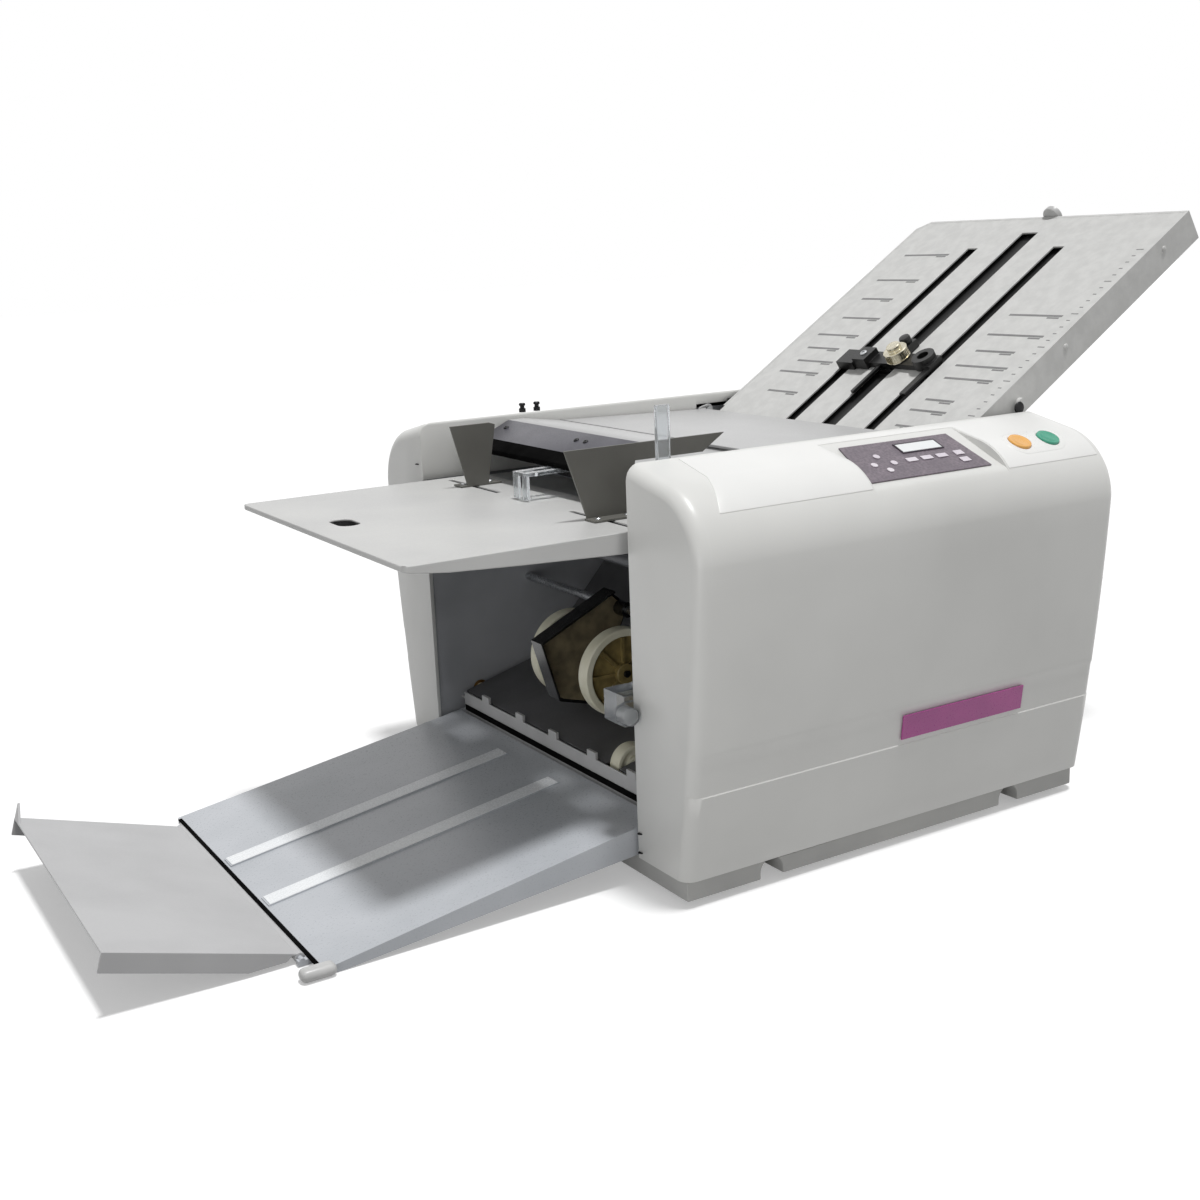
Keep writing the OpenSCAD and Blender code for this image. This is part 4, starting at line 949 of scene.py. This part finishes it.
# Plated brass: pale gold metal that sparkles on its knurled rim.
knob_plate = grain("knurled_plated_brass", ("C2BBA6", "DAD4C2"), 10, 0.9, 0.03, 0.24, 1.0)
knob = turned([(0, 0), (11.5, 0), (12, 0.6), (12, 1.6), (11.2, 2), (11.2, 8.8), (12, 9.2),
               (12, 10.4), (11.4, 11), (7.3, 11), (7, 11.4), (7, 15.2), (6.2, 16), (0, 16)], 40)
knob_down, knob_y, knurl_r = 242, -16, 11.1
knob.transform(frame_at(on_plate(knob_down, knob_y, 6.3), plate_out, plate_up))
keep("stopper_knob_turned", knob, knob_plate, "stop_knob", "stopper_knob")
places = []
for a in turns(28):
    out = plate_up * math.cos(a) + Vector((0, 1, 0)) * math.sin(a)
    places.append(frame_at(on_plate(knob_down, knob_y, 11.7) + out * knurl_r / 1000, out, plate_out))
repeated("knob_knurl", slab(3.4, 0.5, 0.7), places, knob_plate, "stop_knob")

heel_knob = turned([(0, 0), (5.2, 0), (5.6, 0.6), (5.6, 6), (5.0, 7), (2.5, 7.4), (0, 7.5)], 28)
heel_knob.transform(frame_at(on_plate(221, -9, 9), plate_out, plate_up))
keep("stop_heel_knob", heel_knob, carriage_abs, "stop_carriage")
repeated("stop_block_screw", screw_head(3.6, 2.0), [frame_at(on_plate(245, 28, 12.5), plate_out, plate_up)],
         bright_screw, "stop_carriage")

# == Skew knob ==
# A pale moulded knob on the fold plate's top edge, with finger flutes round it.

# Moulded ABS, pale grey: a soft round gradient from light to dark.
knob_abs = grain("moulded_pale_knob", ("C4C4C3", "D0D0CF"), 20, 1.3, 0.03, 0.34)
skew = turned([(0, 0), (9.6, 0), (10, 0.6), (10, 5.2), (9.3, 6), (7.3, 6.1), (7, 6.5), (7, 7.9),
               (6.3, 8.5), (0, 8.5)], 40)
skew_y, flute_r = -8, 9.6
skew.transform(frame_at(on_plate(-6.3, skew_y, -1), plate_up, (0, 1, 0)))
keep("skew_knob_turned", skew, knob_abs, "skew_knob", "skew_knob")
places = []
for a in turns(16):
    out = plate_out * math.cos(a) + Vector((0, 1, 0)) * math.sin(a)
    places.append(frame_at(on_plate(-9.2, skew_y, -1) + out * flute_r / 1000, out, plate_up))
repeated("skew_knob_flutes", slab(2.2, 0.6, 0.35), places, knob_abs, "skew_knob")

# == Second fold plate ==
# Two bright steel sheets inside the body, with a black moulded stop between them.
painted("second_fold_plate", ground_steel)
painted("second_stopper", carriage_abs)

# == Delivery ==
# Cream wheels on a black hinged bracket press the folded sheets on the exit roller, and the sheets
# leave over a pale strip to the stacker.

# Gloss paint: black with clear, hard-edged reflections.
bracket_paint = grain("gloss_black_bracket", ("0D0D0D", "171717"), 40, 1.5, 0.03, 0.22)
eased("delivery_bracket", bracket_paint, 0.5)
outline = ((38, 103), (24, 153.5), (97, 189), (118, 171), (80, 88), (48, 97))
inner_plate = plate([at(x, 12.4, z) for x, z in outline], 2.2, (0, 1, 0))
# Oiled and worn steel: blotchy brown with dull patches of shine.
worn_steel = grain("oiled_worn_steel", ("6E6450", "92866A"), 14, 1.4, 0.1, 0.5, 0.3)
keep("bracket_liner", inner_plate, worn_steel, "delivery_bracket")
# Moulded nylon, cream: warm and satin, the lightest thing in the dark bay.
wheel_nylon = grain("moulded_cream_nylon", ("DEDAC2", "E9E6D2"), 25, 1.3, 0.03, 0.42)
# Oiled moulding: mottled brown, uneven in gloss.
hub_brown = grain("oiled_brown_hub", ("6E5F38", "8C7B4B"), 9, 1.2, 0.08, 0.5)
wheel_x, wheel_z, wheel_ys, rib_r = 74, 131, (-45.5, 39.5), 20
tyres, webs = [], []
for y in wheel_ys:
    tyre = turned([(33, -6), (34, -7), (39, -7), (39.7, -6.4), (40, -5), (40, 5), (39.7, 6.4), (39, 7),
                   (34, 7), (33, 6), (32.6, 2), (32.6, -2)], 72)
    tyre.transform(frame_at(at(wheel_x, y, wheel_z), (0, 1, 0)))
    tyres.append(tyre)
    web = turned([(3.1, -8.8), (8.4, -8.8), (9, -8.2), (9, -3.2), (31, -2), (33, -2.4), (33, 2.4), (31, 2),
                  (9, 3.2), (9, 8.2), (8.4, 8.8), (3.1, 8.8)], 48)
    web.transform(frame_at(at(wheel_x, y, wheel_z), (0, 1, 0)))
    webs.append(web)
keep("delivery_tyres", joined(tyres), wheel_nylon, "delivery_wheels", "delivery_wheels")
keep("delivery_webs", joined(webs), hub_brown, "delivery_wheels")
places = []
for y in wheel_ys:
    for a in turns(8):
        out = Vector((math.cos(a), 0, math.sin(a)))
        for side in (-1, 1):
            middle = at(wheel_x, y + side * 2.4, wheel_z) + out * rib_r / 1000
            places.append(frame_at(middle, (0, side, 0), out))
repeated("wheel_ribs", slab(12, 1.4, 3.0), places, hub_brown, "delivery_wheels")
eased("exit_roller", wheel_nylon, 1.0)
# Powder-coated sheet: even charcoal with a soft sheen.
chute_paint = grain("powder_coated_chute", ("525253", "5E5E60"), 60, 1.6, 0.05, 0.5)
eased("exit_chute", chute_paint, 0.3)
# Extruded plastic: plain light grey, satin.
strip_abs = grain("extruded_strip", ("B4B4B4", "C2C2C2"), 60, 1.4, 0.03, 0.36)
eased("exit_strip", strip_abs, 0.4)
# A matt black strip between the exit strip and the stacker: painted shade in the gap there.
gap = plate([at(26.6, y, z) for y, z in ((-173, 50.4), (173, 50.4), (173, 56), (-173, 56))], 0.5, (-1, 0, 0))
keep("strip_seal", gap, shade_and_seam_black, "machine")
lever_knob = turned([(0, 0), (6.2, 0), (6.8, 0.8), (6.8, 9), (6.0, 10.4), (3.0, 11), (0, 11.2)], 32)
lever_knob.transform(frame_at(at(-9, -180.2, 144), (0, -1, 0)))
# Moulded ABS, mid grey: a dull round knob, darker than the cover behind it.
grip_abs = grain("moulded_grey_grip", ("848484", "929292"), 20, 1.3, 0.03, 0.4)
keep("exit_lever_knob", lever_knob, grip_abs, "exit_lever")

# == Stacker ==
# A blue-grey coated steel tray hinged in the body, with two flat raised tracks; its hinged extension
# has a rolled hem and a corner stop.

# Powder-coated sheet: cool blue-grey that mirrors the white studio faintly.
stacker_coat = grain("powder_coated_stacker", ("BABEC3", "C8CBD0"), 110, 1.8, 0.04, 0.3)
# Powder-coated sheet: neutral light grey, a little duller than the stacker.
extension_coat = grain("powder_coated_extension", ("B9B9BA", "C4C4C5"), 110, 1.8, 0.04, 0.42)
eased("stacker", stacker_coat, 0.8)
eased("stacker_extension", extension_coat, 0.7)
corners = [at(x, y, z) for x, y, z in ((-267.7, -172, 5.1), (-264.2, -172, 5.5), (-264.2, 172, 5.5),
                                       (-267.7, 172, 5.1))]
keep("hinge_seam", plate(corners, 0.5, (0, 0, 1)), shade_and_seam_black, "stacker")
clamp = plate([at(x, y, 0.6) for x, y in ((-283, -184), (-283, -172), (-256, -172), (-256, -184))], 9.5,
              (0, 0, 1))
keep("hinge_clamp", rounded(clamp, 4.2, 4), knob_abs, "stacker")
# Near white strips on the two raised tracks: a painted highlight, where the tracks catch more light than the
# sheet.
track_highlight_coat = grain("stacker_track_painted_highlight", ("F1F4F7", "F8FAFB"), 60, 1.6, 0.03, 0.26)
incline = Vector((288.0, 0, 45.0)).normalized()
track_out = Vector((-incline.z, 0, incline.x))
places = []
for y in (-46, 47):
    places.append(frame_at(at(-130, y, 26.25) + track_out * 0.0011, track_out, incline))
repeated("stacker_tracks", slab(132, 8.5, 0.4), places, track_highlight_coat, "stacker")
